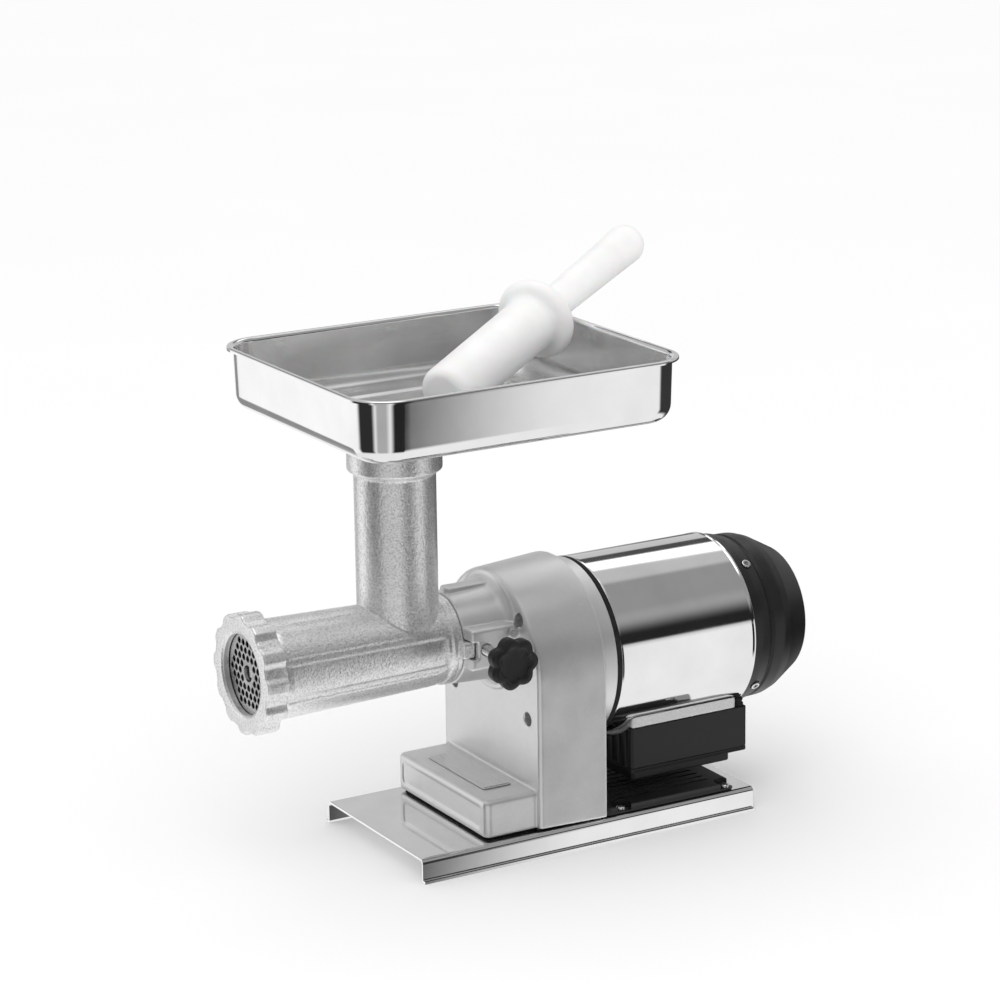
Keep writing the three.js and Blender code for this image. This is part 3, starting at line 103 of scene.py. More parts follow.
def rounded(points, radius, steps=6, closed=True):
    """An outline with each corner turned into an arc. radius is one number, or one for each corner."""
    count = len(points)
    radii = radius if isinstance(radius, (list, tuple)) else [radius] * count
    made = []
    for i, (corner, r) in enumerate(zip(points, radii)):
        end = not closed and i in (0, count - 1)
        p = Vector(corner)
        if end or r <= 0:
            made.append(tuple(p))
            continue
        before = Vector(points[i - 1]) - p
        after = Vector(points[(i + 1) % count]) - p
        u, v = before.normalized(), after.normalized()
        half = math.acos(max(-1, min(1, u.dot(v)))) / 2
        if half > math.radians(89):
            made.append(tuple(p))
            continue
        reach = min(r / math.tan(half), 0.49 * before.length, 0.49 * after.length)
        r = reach * math.tan(half)
        centre = p + (u + v).normalized() * (r / math.sin(half))
        start, stop = p + u * reach - centre, p + v * reach - centre
        a0 = math.atan2(start.y, start.x)
        turn = math.atan2(stop.y, stop.x) - a0
        turn = (turn + math.pi) % (2 * math.pi) - math.pi
        for k in range(steps + 1):
            a = a0 + turn * k / steps
            made.append((centre.x + r * math.cos(a), centre.y + r * math.sin(a)))
    return made


def rectangle(a0, a1, b0, b1):
    return [(a0, b0), (a1, b0), (a1, b1), (a0, b1)]


def soft_rectangle(a0, a1, b0, b1, radius, steps=8, along=1):
    """A rounded rectangle whose straight sides are divided too, anticlockwise from the lower right corner."""
    corners = [(a1 - radius, b0 + radius, -90), (a1 - radius, b1 - radius, 0),
               (a0 + radius, b1 - radius, 90), (a0 + radius, b0 + radius, 180)]
    arcs = [[on_circle(radius, start + 90 * k / steps, a, b) for k in range(steps + 1)]
            for a, b, start in corners]
    made = []
    for i, points in enumerate(arcs):
        made += points
        p, q = Vector(points[-1]), Vector(arcs[(i + 1) % 4][0])
        made += [tuple(p.lerp(q, k / along)) for k in range(1, along)]
    return made


def quarter(steps, first=0):
    """A quarter round of unit size: how far along and how far in from its far corner each step is."""
    turns = [math.radians(90 * k / steps) for k in range(first, steps + 1)]
    return [(1 - math.cos(turn), 1 - math.sin(turn)) for turn in turns]


def smoothstep(low, high, value):
    t = max(0.0, min(1.0, (value - low) / (high - low)))
    return t * t * (3 - 2 * t)


# ---------------------------------------------------------------- meshes
def finished(name, mesh, sharp=32):
    """An object with outward normals, smooth but for its sharp edges."""
    work = bmesh.new()
    work.from_mesh(mesh)
    bmesh.ops.remove_doubles(work, verts=work.verts, dist=1e-7)
    bmesh.ops.dissolve_degenerate(work, edges=work.edges, dist=1e-8)
    bmesh.ops.recalc_face_normals(work, faces=work.faces)
    work.to_mesh(mesh)
    work.free()
    mesh.shade_smooth()
    mesh.set_sharp_from_angle(angle=math.radians(sharp))
    piece = bpy.data.objects.new(name, mesh)
    bpy.context.scene.collection.objects.link(piece)
    return piece


def skin(name, rows, ring=False, sharp=32):
    """A closed skin over rows of points. The rows run round in a ring, or the end rows are closed flat."""
    count = len(rows[0])
    points = [(x * MM, y * MM, z * MM) for row in rows for x, y, z in row]
    faces = []
    for r in range(len(rows) if ring else len(rows) - 1):
        here, there = r * count, (r + 1) % len(rows) * count
        for i in range(count):
            after = (i + 1) % count
            faces.append((here + i, here + after, there + after, there + i))
    if not ring:
        faces += [tuple(range(count))[::-1], tuple(range((len(rows) - 1) * count, len(rows) * count))]
    mesh = bpy.data.meshes.new(name)
    mesh.from_pydata(points, [], faces)
    return finished(name, mesh, sharp)


# Where a place along the axis and the two across it go in (x, y, z)
AXES = {"X": lambda along, a, b: (along, a, b), "Y": lambda along, a, b: (b, along, a),
        "Z": lambda along, a, b: (a, b, along)}


def revolve(name, profile, axis, centre=(0, 0, 0), sides=128, sharp=32, turn=0.0):
    """A turned piece from a profile of (place along the axis, radius). It closes on itself or on the axis."""
    place = AXES[axis]
    solid_core = profile[0][1] < 1e-6 and profile[-1][1] < 1e-6
    rows = []
    for along, radius in profile:
        radius = max(radius, 1e-4)
        row = []
        for k in range(sides):
            a, b = on_circle(radius, turn + 360 * k / sides)
            x, y, z = place(along, a, b)
            row.append((x + centre[0], y + centre[1], z + centre[2]))
        rows.append(row)
    return skin(name, rows, ring=not solid_core, sharp=sharp)


def prism(name, outline, axis, start, end, edge=0.0, centre=(0, 0, 0), sharp=32, steps=3):
    """An outline pulled along an axis, with rounded end edges.

    X takes (y, z), Y takes (z, x), Z takes (x, y).
    """
    place = AXES[axis]
    count = len(outline)
    area = sum(outline[i][0] * outline[(i + 1) % count][1] - outline[(i + 1) % count][0] * outline[i][1]
               for i in range(count))
    side = 1 if area > 0 else -1

    def inset(amount):
        moved = []
        for i in range(count):
            before, here, after = (Vector(outline[j % count]) for j in (i - 1, i, i + 1))
            u, v = (here - before).normalized(), (after - here).normalized()
            inward = Vector((-u.y - v.y, u.x + v.x)) * side
            if inward.length < 1e-9:
                moved.append(here)
                continue
            inward.normalize()
            stretch = max(0.35, inward.dot(Vector((-u.y, u.x)) * side))
            moved.append(here + inward * amount / stretch)
        return moved

    levels = [(start, 0.0), (end, 0.0)]
    if edge > 0:
        low = [(start + edge * along, edge * inward) for inward, along in reversed(quarter(steps))]
        high = [(end - edge * along, edge * inward) for inward, along in quarter(steps)]
        inner = [level for level in low + high if start < level[0] < end]
        levels = [(start, edge)] + inner + [(end, edge)]
    rows = []
    for along, amount in levels:
        rows.append([tuple(c + o for c, o in zip(place(along, p[0], p[1]), centre)) for p in inset(amount)])
    return skin(name, rows, sharp=sharp)


def block(name, x, y, z, edge=0.5, corner=0.5):
    """A box between the pairs x, y and z with rounded edges."""
    outline = soft_rectangle(*x, *y, corner, 4) if corner else rectangle(*x, *y)
    return prism(name, outline, "Z", z[0], z[1], edge)


def rod(start, end, radius, edge=0.0):
    """The profile of a rod, with small rounded ends."""
    if not edge:
        return [(start, 0), (start, radius), (end, radius), (end, 0)]
    return rounded([(start, 0), (start, radius), (end, radius), (end, 0)], edge, 4, closed=False)


def hollow(start, end, inner, outer, edge=0.4):
    """The profile of a tube, with small rounded edges."""
    return rounded([(start, inner), (start, outer), (end, outer), (end, inner)], edge, 4)


def baked(piece, sharp=32):
    """The piece with its modifiers applied."""
    graph = bpy.context.evaluated_depsgraph_get()
    graph.update()
    mesh = bpy.data.meshes.new_from_object(piece.evaluated_get(graph))
    piece.modifiers.clear()
    piece.data = mesh
    mesh.shade_smooth()
    mesh.set_sharp_from_angle(angle=math.radians(sharp))
    return piece


def combine(piece, operation, tools, sharp=32):
    for tool in tools:
        step = piece.modifiers.new("combine", "BOOLEAN")
        step.operation = operation
        step.solver = "MANIFOLD"
        step.object = tool
    baked(piece, sharp)
    for tool in tools:
        bpy.data.objects.remove(tool)
    return piece


def joined(piece, *tools, sharp=32):
    return combine(piece, "UNION", tools, sharp)


def less(piece, *tools, sharp=32):
    return combine(piece, "DIFFERENCE", tools, sharp)


def cast(piece, voxel, soften, grain=0.0, size=1.0, sharp=50):
    """A casting's skin: even small faces, softened corners and a sand grain of that height and size."""
    remesh = piece.modifiers.new("skin", "REMESH")
    remesh.mode = "VOXEL"
    remesh.voxel_size = voxel * MM
    remesh.use_smooth_shade = True
    smooth = piece.modifiers.new("soft", "SMOOTH")
    smooth.factor = 0.5
    smooth.iterations = soften
    baked(piece, sharp)
    if grain:
        mesh = piece.data
        moved = []
        for vertex in mesh.vertices:
            spot = vertex.co / (size * MM)
            height = noise.noise(spot) + 0.5 * noise.noise(spot * 2.3)
            moved.append(vertex.co + vertex.normal * (grain * height * MM))
        for vertex, place in zip(mesh.vertices, moved):
            vertex.co = place
        mesh.update()
    piece.data.shade_smooth()
    piece["cast"] = True
    return piece


def merged(name, pieces):
    """Several separate meshes as one object."""
    work = bmesh.new()
    for piece in pieces:
        work.from_mesh(piece.data)
        bpy.data.objects.remove(piece)
    mesh = bpy.data.meshes.new(name)
    work.to_mesh(mesh)
    work.free()
    whole = bpy.data.objects.new(name, mesh)
    bpy.context.scene.collection.objects.link(whole)
    mesh.shade_smooth()
    mesh.set_sharp_from_angle(angle=math.radians(32))
    return whole


# ---------------------------------------------------------------- materials
class Surface:
    """A Principled material that is built up node by node, in the object's own coordinates."""

    def __init__(self, name, metallic, **fixed):
        self.material = bpy.data.materials.new(name)
        self.material.use_nodes = True
        self.tree = self.material.node_tree
        self.tree.nodes.clear()
        self.shader = self.add("ShaderNodeBsdfPrincipled")
        output = self.add("ShaderNodeOutputMaterial")
        self.link(self.shader.outputs[0], output.inputs["Surface"])
        self.shader.inputs["Metallic"].default_value = metallic
        for socket, value in fixed.items():
            self.shader.inputs[socket.replace("_", " ")].default_value = value
        self.place = self.add("ShaderNodeTexCoord").outputs["Object"]

    def add(self, kind, **values):
        node = self.tree.nodes.new(kind)
        for key, value in values.items():
            setattr(node, key, value)
        return node

    def link(self, source, target):
        self.tree.links.new(source, target)

    def stretched(self, x, y, z):
        mapping = self.add("ShaderNodeMapping")
        mapping.inputs["Scale"].default_value = (x, y, z)
        self.link(self.place, mapping.inputs["Vector"])
        return mapping.outputs[0]

    def grain(self, size, detail=3.0, roughness=0.5, place=None):
        """Noise with features of about this many millimetres."""
        node = self.add("ShaderNodeTexNoise")
        node.inputs["Scale"].default_value = 1 / (size * MM)
        node.inputs["Detail"].default_value = detail
        node.inputs["Roughness"].default_value = roughness
        self.link(place or self.place, node.inputs["Vector"])
        return node.outputs["Fac"]

    def cells(self, size, place=None):
        node = self.add("ShaderNodeTexVoronoi")
        node.inputs["Scale"].default_value = 1 / (size * MM)
        self.link(place or self.place, node.inputs["Vector"])
        return node.outputs["Distance"]

    def ramp(self, value, *stops):
        """Colours or numbers along a value: each stop is (place, grey) or (place, (r, g, b))."""
        node = self.add("ShaderNodeValToRGB")
        elements = node.color_ramp.elements
        while len(elements) < len(stops):
            elements.new(0.5)
        for element, (place, colour) in zip(elements, stops):
            element.position = place
            rgb = colour if isinstance(colour, tuple) else (colour, colour, colour)
            element.color = (*rgb, 1)
        self.link(value, node.inputs[0])
        return node.outputs[0]

    def blend(self, kind, factor, first, second):
        node = self.add("ShaderNodeMix", data_type="RGBA", blend_type=kind)
        for value, socket in ((factor, node.inputs[0]), (first, node.inputs[6]), (second, node.inputs[7])):
            if isinstance(value, (int, float)):
                socket.default_value = value if socket == node.inputs[0] else (value, value, value, 1)
            else:
                self.link(value, socket)
        return node.outputs[2]

    def edges(self, low=0.5, high=0.58):
        """Where the surface turns sharply outwards."""
        return self.ramp(self.add("ShaderNodeNewGeometry").outputs["Pointiness"], (low, 0.0), (high, 1.0))

    def colour(self, value):
        self.link(value, self.shader.inputs["Base Color"])

    def roughness(self, value):
        self.link(value, self.shader.inputs["Roughness"])

    def bump(self, value, depth, strength=1.0):
        """Heights of up to depth millimetres. Calls add up."""
        node = self.add("ShaderNodeBump")
        node.inputs["Distance"].default_value = depth * MM
        node.inputs["Strength"].default_value = strength
        self.link(value, node.inputs["Height"])
        socket = self.shader.inputs["Normal"]
        if socket.is_linked:
            self.link(socket.links[0].from_socket, node.inputs["Normal"])
        self.link(node.outputs[0], socket)


def plain(name, metallic, size, tones, rough, bumps, detail=3, **fixed):
    """Colour and gloss that vary together in patches, over a fine bump: (size, detail, depth, strength)."""
    surface = Surface(name, metallic, **fixed)
    patch = surface.grain(size, detail)
    surface.colour(surface.ramp(patch, *tones))
    surface.roughness(surface.ramp(patch, *rough))
    bump_size, bump_detail, depth, strength = bumps
    surface.bump(surface.grain(bump_size, bump_detail), depth, strength)
    return surface.material


def zinc_screw():
    """Bright zinc plating over a slightly uneven surface."""
    return plain("zinc_screw", 1.0, 3, ((0.3, 0.70), (0.7, 0.86)), ((0.3, 0.18), (0.7, 0.32)),
                 (0.4, 3, 0.02, 0.4))


def black_rubber():
    return plain("black_rubber", 0.0, 9, ((0.3, 0.008), (0.7, 0.018)), ((0.3, 0.60), (0.7, 0.78)),
                 (0.5, 3, 0.05, 0.4), detail=4, Specular_IOR_Level=0.3)


def white_plastic():
    """Turned polyethylene: waxy white, with faint turning lines."""
    return plain("white_plastic", 0.0, 30, ((0.3, (0.86, 0.86, 0.855)), (0.7, (0.93, 0.93, 0.925))),
                 ((0.3, 0.34), (0.7, 0.46)), (1.6, 2, 0.02, 0.25),
                 Specular_IOR_Level=0.45, Subsurface_Weight=0.25, Subsurface_Scale=0.004)


def bronze():
    return plain("bronze", 1.0, 5, ((0.3, (0.40, 0.25, 0.09)), (0.7, (0.56, 0.37, 0.15))),
                 ((0.3, 0.28), (0.7, 0.42)), (0.5, 3, 0.02, 0.4))


def polished_steel():
    """Mirror-polished sheet, with faint smears and hair lines along X."""
    surface = Surface("polished_steel", 1.0)
    smear = surface.grain(38, 4)
    hair = surface.grain(0.6, 3, 0.6, surface.stretched(0.012, 1, 1))
    surface.colour(surface.ramp(smear, (0.3, 0.80), (0.7, 0.88)))
    surface.roughness(surface.ramp(surface.blend("MIX", 0.35, smear, hair), (0.3, 0.035), (0.72, 0.10)))
    surface.bump(hair, 0.004, 0.25)
    surface.bump(surface.grain(60, 1), 0.10, 0.10)
    return surface.material


def satin_steel():
    """Brushed sheet inside the tray: soft reflections, with fine lines along X."""
    surface = Surface("satin_steel", 1.0)
    smear = surface.grain(45, 3)
    hair = surface.grain(0.6, 3, 0.6, surface.stretched(0.012, 1, 1))
    surface.colour(surface.ramp(smear, (0.3, 0.78), (0.7, 0.86)))
    surface.roughness(surface.ramp(surface.blend("MIX", 0.35, smear, hair), (0.3, 0.20), (0.72, 0.30)))
    surface.bump(hair, 0.004, 0.25)
    return surface.material


def cast_aluminium():
    """Blasted die casting: satin, with a fine pitted grain and a painted highlight along its sharp outward
    edges.
    """
    surface = Surface("cast_aluminium", 0.88)
    fine = surface.grain(0.55, 4, 0.6)
    patch = surface.grain(26, 4)
    tone = surface.blend("MIX", 0.45, surface.ramp(patch, (0.3, 0.74), (0.7, 0.86)),
                         surface.ramp(fine, (0.3, 0.68), (0.72, 0.92)))
    # Painted highlight: the colour turns lighter on sharp outward edges, standing in for the bright lines
    # where rounded edges catch the light.
    surface.colour(surface.blend("MIX", surface.edges(0.505, 0.56), tone, 0.92))
    surface.roughness(surface.ramp(surface.blend("MIX", 0.5, patch, fine), (0.3, 0.34), (0.7, 0.50)))
    surface.bump(fine, 0.05, 0.35)
    surface.bump(surface.grain(3.2, 3), 0.12, 0.2)
    return surface.material


def sandy_aluminium():
    """Rough sand-cast aluminium: a light coarse grain."""
    surface = Surface("sandy_aluminium", 0.75)
    sand = surface.grain(0.9, 3, 0.6)
    surface.colour(surface.ramp(sand, (0.3, 0.70), (0.7, 0.96)))
    surface.roughness(surface.ramp(sand, (0.3, 0.45), (0.7, 0.62)))
    surface.bump(sand, 0.16, 0.8)
    return surface.material


def tinned_iron():
    """Tinned sand casting: a coarse glittering grain, smoothed over by the tin."""
    surface = Surface("tinned_iron", 0.88)
    coarse = surface.grain(1.5, 2, 0.55)
    fine = surface.grain(0.55, 3, 0.6)
    pits = surface.cells(1.3)
    patch = surface.grain(22, 3)
    tone = surface.blend("MIX", 0.4, surface.ramp(coarse, (0.34, 0.50), (0.56, 0.96)),
                         surface.ramp(patch, (0.3, 0.80), (0.7, 0.93)))
    # Painted highlight: the colour turns lighter on sharp outward edges, standing in for the bright lines
    # where rounded edges catch the light.
    surface.colour(surface.blend("MIX", surface.edges(0.51, 0.58), tone, 0.95))
    surface.roughness(surface.ramp(fine, (0.3, 0.26), (0.7, 0.44)))
    surface.bump(coarse, 0.34, 0.75)
    surface.bump(pits, 0.16, 0.5)
    surface.bump(fine, 0.06, 0.5)
    return surface.material


def machined_steel(name="machined_steel", tone=0.62):
    """Turned or ground steel with fine tool marks."""
    surface = Surface(name, 1.0)
    marks = surface.grain(0.35, 3, 0.6, surface.stretched(1, 0.08, 0.08))
    patch = surface.grain(14, 3)
    surface.colour(surface.ramp(patch, (0.3, tone - 0.07), (0.7, tone + 0.08)))
    surface.roughness(surface.ramp(marks, (0.3, 0.20), (0.7, 0.36)))
    surface.bump(marks, 0.02, 0.4)
    return surface.material


def black_plastic(name="black_plastic", rough=0.36, grain=0.25, lift=0.008):
    """Moulded black plastic with a fine texture, and a painted highlight that turns it greyer along its sharp
    outward edges.
    """
    surface = Surface(name, 0.0, Specular_IOR_Level=0.36)
    patch = surface.grain(24, 4)
    fine = surface.grain(grain, 3)
    base = surface.ramp(patch, (0.3, lift), (0.75, lift * 1.9))
    # Painted highlight: the colour turns greyer on sharp outward edges, where light catches them.
    surface.colour(surface.blend("MIX", surface.edges(0.52, 0.62), base, 0.035))
    uneven = surface.blend("MIX", 0.4, patch, fine)
    surface.roughness(surface.ramp(uneven, (0.3, rough - 0.05), (0.7, rough + 0.1)))
    surface.bump(fine, 0.03, 0.3)
    return surface.material


def copper():
    """Enamelled copper wire, laid in turns."""
    surface = Surface("copper", 1.0)
    wires = surface.grain(0.9, 2, 0.5, surface.stretched(1.5, 1, 1))
    surface.colour(surface.ramp(wires, (0.3, (0.32, 0.12, 0.05)), (0.7, (0.62, 0.27, 0.12))))
    surface.roughness(surface.ramp(wires, (0.3, 0.28), (0.7, 0.45)))
    surface.bump(wires, 0.5, 0.7)
    return surface.material


def nameplate_metal():
    """Brushed plate, with the brush lines along Y."""
    surface = Surface("nameplate_metal", 1.0)
    lines = surface.grain(0.5, 3, 0.6, surface.stretched(1, 0.02, 1))
    surface.colour(surface.ramp(lines, (0.3, 0.66), (0.7, 0.80)))
    surface.roughness(surface.ramp(lines, (0.3, 0.24), (0.7, 0.38)))
    surface.bump(lines, 0.01, 0.4)
    return surface.material


FINISH = {
    "polished_steel": polished_steel(), "cast_aluminium": cast_aluminium(), "tinned_iron": tinned_iron(),
    "machined_steel": machined_steel(), "zinc_screw": zinc_screw(), "black_plastic": black_plastic(),
    "black_rubber": black_rubber(), "white_plastic": white_plastic(), "copper": copper(), "bronze": bronze(),
}
SANDY = sandy_aluminium()
SATIN_STEEL = satin_steel()
KNOB_PLASTIC = black_plastic("knob_plastic", 0.38, 0.3, 0.006)
BOX_PLASTIC = black_plastic("box_plastic", 0.30, 0.4, 0.005)
PLATE_METAL = nameplate_metal()
# A darker copy of machined steel: painted shade for steel that sits deep in holes and recesses, the case
# screws and the hole plate.
SHADE_DARKENED_STEEL = machined_steel("shade_darkened_steel", 0.42)


def put(piece, body, slot, *nodes, material=None):
    """Gives a piece its finish, taken from its slot unless a material is given, its body, and hides the CAD
    nodes that it stands for.
    """
    piece.data.materials.clear()
    piece.data.materials.append(material or FINISH[slot])
    if not piece.get("cast"):
        normals = piece.modifiers.new("normals", "WEIGHTED_NORMAL")
        normals.keep_sharp = True
    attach(piece, body)
    if nodes:
        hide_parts(*nodes)
    return piece


# ---------------------------------------------------------------- base
def base_plate():
    """A sheet channel that opens downwards, with small turned-out lips."""
    half, top, sheet, bend, lip = 76.6, PLATE_TOP, 2, 4, 3
    outer = rounded([(half + lip, sheet), (half, sheet), (half, top), (-half, top), (-half, sheet),
                     (-half - lip, sheet)], [0, 0.6, bend, bend, 0.6, 0], 8, closed=False)
    inner = rounded([(-half - lip, 0), (sheet - half, 0), (sheet - half, top - sheet),
                     (half - sheet, top - sheet), (half - sheet, 0), (half + lip, 0)],
                    [0, 2.4, bend - sheet, bend - sheet, 2.4, 0], 8, closed=False)
    x0, x1 = span("base_plate", 0)
    plate = prism("base_channel", outer + inner, "X", x0, x1, 0.35, steps=2)
    holes = []
    for node in ["gearcase_bolt_1", "gearcase_bolt_2"] + [f"cover_screw_{i}" for i in (1, 2, 3, 4)]:
        radius = 3.5 if node.startswith("gearcase") else 2.5
        centre = (middle(node, 0), middle(node, 1), 0)
        holes.append(revolve("hole", rod(top - 6, top + 2, radius), "Z", centre, 32))
    return put(less(plate, *holes), "stand", "polished_steel", "base_plate")


COVER = {"x": span("base_cover", 0), "z": span("base_cover", 2), "half": 73.5}
COVER_MIDDLE_SCREW = (95.0, -17.0)


def base_cover():
    """The ribbed black cover on the base plate: fine grooves along X, and round notches for the screws."""
    (x0, x1), (z0, z1), w = COVER["x"], COVER["z"], COVER["half"]
    cover = prism("base_ribbed_cover", soft_rectangle(x0, x1, -w, w, 4, 8), "Z", z0, z1, 1.4)
    tools = []
    grooves = 15
    for i in range(grooves):
        y = (i - (grooves - 1) / 2) * 8.1
        outline = soft_rectangle(x0 + 20, x1 - 14, y - 1.1, y + 1.1, 1.05, 6)
        tools.append(prism("groove", outline, "Z", z1 - 1.3, z1 + 2))
    for i in (1, 2, 3, 4):
        x, y = middle(f"cover_screw_{i}", 0), middle(f"cover_screw_{i}", 1)
        tools.append(revolve("notch", rod(z0 + 1.8, z1 + 2, 8.5), "Z", (x, y, 0), 48))
        tools.append(revolve("hole", rod(z0 - 2, z0 + 3, 2.5), "Z", (x, y, 0), 32))
    x, y = COVER_MIDDLE_SCREW
    recess = [(z1 - 2.2, 0), (z1 - 2.2, 5.2), (z1 - 0.6, 6.6), (z1 + 2, 8), (z1 + 2, 0)]
    tools.append(revolve("recess", recess, "Z", (x, y, 0), 48))
    return put(less(cover, *tools), "stand", "black_plastic", "base_cover")


def pan_screw(name, x, y, z, radius, nodes=()):
    """A domed screw head with a cross recess, its seat at height z, and its shank below."""
    dome = [(z - 9, 0), (z - 9, 1.9), (z, 2.0), (z, radius)]
    dome += [(z + 0.9 + 1.7 * math.sin(math.radians(t)), radius * math.cos(math.radians(t)))
             for t in range(0, 90, 12)]
    dome += [(z + 2.6, 0)]
    head = revolve(name, dome, "Z", (x, y, 0), 48)
    bars = [prism("bar", rectangle(-a, a, -b, b), "Z", z + 1.1, z + 4, centre=(x, y, 0))
            for a, b in ((radius * 0.62, 0.45), (0.45, radius * 0.62))]
    return put(less(head, *bars), "stand", "zinc_screw", *nodes)


def base_fixings():
    for i in (1, 2, 3, 4):
        node = f"cover_screw_{i}"
        z = COVER["z"][0] + 2.1
        pan_screw(f"cover_pan_screw_{i}", middle(node, 0), middle(node, 1), z, 4, [node])
    pan_screw("cover_middle_screw", *COVER_MIDDLE_SCREW, COVER["z"][1] - 2.2, 4.2)
    x0, x1 = span("base_gasket", 0)
    z0, z1 = span("base_gasket", 2)
    step, foot, case = CASE_FRONT, FOOT_HALF - 3, CASE_FRONT_RADIUS - 3
    outline = rounded([(x0, -foot), (step, -foot), (step, -case), (x1, -case), (x1, case), (step, case),
                       (step, foot), (x0, foot)], [4, 0.5, 0.5, 1, 1, 0.5, 0.5, 4], 6)
    put(prism("base_rubber_gasket", outline, "Z", z0, z1, 0.3), "stand", "black_rubber", "base_gasket")


# ---------------------------------------------------------------- gearcase
def arch(radius, corner, steps=72):
    """The housing's outline in Y and Z: upright sides under a half round."""
    top = [on_circle(radius, 180 * k / steps, 0, MOTOR_Z) for k in range(steps + 1)]
    left = rounded([(-radius, MOTOR_Z - 1), (-radius, FOOT_BOTTOM), (0, FOOT_BOTTOM)], corner, 4,
                   closed=False)[1:-1]
    right = [(-y, z) for y, z in reversed(left)]
    side = [(-radius, MOTOR_Z + (FOOT_BOTTOM - MOTOR_Z) * k / 12) for k in range(1, 11)]
    return top + side + left + right + [(-y, z) for y, z in reversed(side)]


def gearcase():
    """The main casting: foot, arched housing, snout, rib and clamp pad, with its bores."""
    round_edge = 3.6
    rows = []
    for along, inward in quarter(8):
        x, inset = CASE_FRONT + round_edge * along, round_edge * inward
        rows.append([(x, y, z) for y, z in arch(CASE_FRONT_RADIUS + 0.2 - inset, 1.2)])
    rows.append([(CASE_REAR, y, z) for y, z in arch(CASE_REAR_RADIUS, 1.2)])
    housing = skin("gearcase_casting", rows)

    foot_rows = [(FOOT_BOTTOM + 2.0 * along, 2.0 * inward) for along, inward in quarter(4)]
    foot_rows += [(FOOT_TOP - 3.6 * inward, 3.6 * along) for along, inward in quarter(6)]
    foot = skin("foot", [
        [(x, y, z) for x, y in soft_rectangle(FOOT_FRONT + inset, CASE_FRONT + 20, inset - FOOT_HALF,
                                              FOOT_HALF - inset, 5.2 - inset, 8)]
        for z, inset in foot_rows])
    flare = rounded([(SNOUT_FRONT, 0), (SNOUT_FRONT, SNOUT_RADIUS), (CASE_FRONT - 6, SNOUT_RADIUS + 1.6),
                     (CASE_FRONT - 1.5, SNOUT_RADIUS + 7.5), (CASE_FRONT - 1.5, SNOUT_RADIUS + 10.4),
                     (CASE_FRONT + 6, SNOUT_RADIUS + 10.4), (CASE_FRONT + 6, 0)],
                    [0, 0.8, 9, 0.6, 1, 0, 0], 8, closed=False)
    snout = revolve("snout", flare, "X", HEAD_AXIS, 144)
    rib_top = HEAD_Z + SNOUT_RADIUS + 4
    rib = prism("rib", rounded([(-9, rib_top - 14), (9, rib_top - 14), (6, rib_top), (-6, rib_top)],
                               [0, 0, 1.4, 1.4]), "X", SNOUT_FRONT + 3, CASE_FRONT + 6, 1.0)
    tab = prism("tab", rounded([(-5, rib_top - 10), (5, rib_top - 10), (4, rib_top + 0.2),
                                (-4, rib_top + 0.2)], 1.2), "X", SNOUT_FRONT + 0.8, SNOUT_FRONT + 6, 1.0)
    reach = 45.5
    ledge = prism("ledge", rounded([(0, HEAD_Z - 16), (-reach, HEAD_Z - 16), (-reach, HEAD_Z + 16),
                                    (0, HEAD_Z + 16)], [0, 2.5, 2.5, 0]), "X", SNOUT_FRONT + 1.2,
                  CASE_FRONT + 6, 1.0)
    bump = revolve("bump", rod(-reach - 1.2, -reach + 3, 4.2, 1.0), "Y", (CASE_FRONT - 5, 0, HEAD_Z + 9), 32)
    solid = joined(housing, foot, snout, rib, tab, ledge, bump)

    axis = HEAD_AXIS
    bore = revolve("bore", [(SNOUT_FRONT - 2, 0), (SNOUT_FRONT - 2, SNOUT_BORE),
                            (SNOUT_FRONT + 24.6, SNOUT_BORE), (SNOUT_FRONT + 24.6, 18),
                            (CASE_FRONT - 6, 18), (CASE_FRONT - 6, 20.9),
                            (CASE_FRONT + 7.3, 20.9), (CASE_FRONT + 7.3, 0)], "X", axis, 128)
    slot = block("slot", (SNOUT_FRONT - 2, SNOUT_FRONT + 6.5), (-47, 1 - SNOUT_BORE),
                 (HEAD_Z - 7, HEAD_Z + 7), 0, 0)
    stud_x = middle("clamp_stud", 0)
    stud_hole = revolve("stud_hole", rod(-47, 2 - SNOUT_BORE, 4.6), "Y", (stud_x, 0, HEAD_Z), 48)
    counter_y, counter_z = middle("countershaft", 1), middle("countershaft", 2)
    big_x, small_x = span("output_gear", 0), span("intermediate_gear", 0)
    rooms = [("output_gear", 0, HEAD_Z, 38.5, big_x[0] - 2.7),
             ("inter", counter_y, counter_z, 33.6, big_x[0] - 2),
             ("pinion", 0, MOTOR_Z, 9.6, small_x[0] - 4)]
    cavity = [revolve(name, rod(x0, CASE_REAR + 2, radius), "X", (0, y, z), 96)
              for name, y, z, radius, x0 in rooms]
    cavity.append(revolve("seat", rod(big_x[0] - 7, big_x[0], 5.5), "X", (0, counter_y, counter_z), 32))
    holes = []
    for angle in CASE_SCREW_ANGLES:
        y, z = on_circle(CASE_SCREW_CIRCLE, angle, 0, MOTOR_Z)
        holes.append(revolve("sink", rod(CASE_FRONT - 2, CASE_FRONT + 12, 5.4), "X", (0, y, z), 48))
        holes.append(revolve("drill", rod(CASE_FRONT, CASE_REAR + 2, 3), "X", (0, y, z), 24))
    for i in (1, 2):
        node = f"gearcase_bolt_{i}"
        holes.append(revolve("tapping", rod(FOOT_BOTTOM - 2, FOOT_BOTTOM + 15, 3.5), "Z",
                             (middle(node, 0), middle(node, 1), 0), 24))
    panel_outline = soft_rectangle(7 - FOOT_HALF, FOOT_HALF - 7, FOOT_BOTTOM + 5.6, FOOT_TOP - 5.6, 4, 8)
    panel = prism("panel", panel_outline, "X", FOOT_FRONT - 2, FOOT_FRONT + 1.0)
    solid = less(solid, bore, slot, stud_hole, *cavity, *holes, panel)
    return put(cast(solid, 0.75, 3, 0.05, 9.0), "stand", "cast_aluminium", "gearcase")


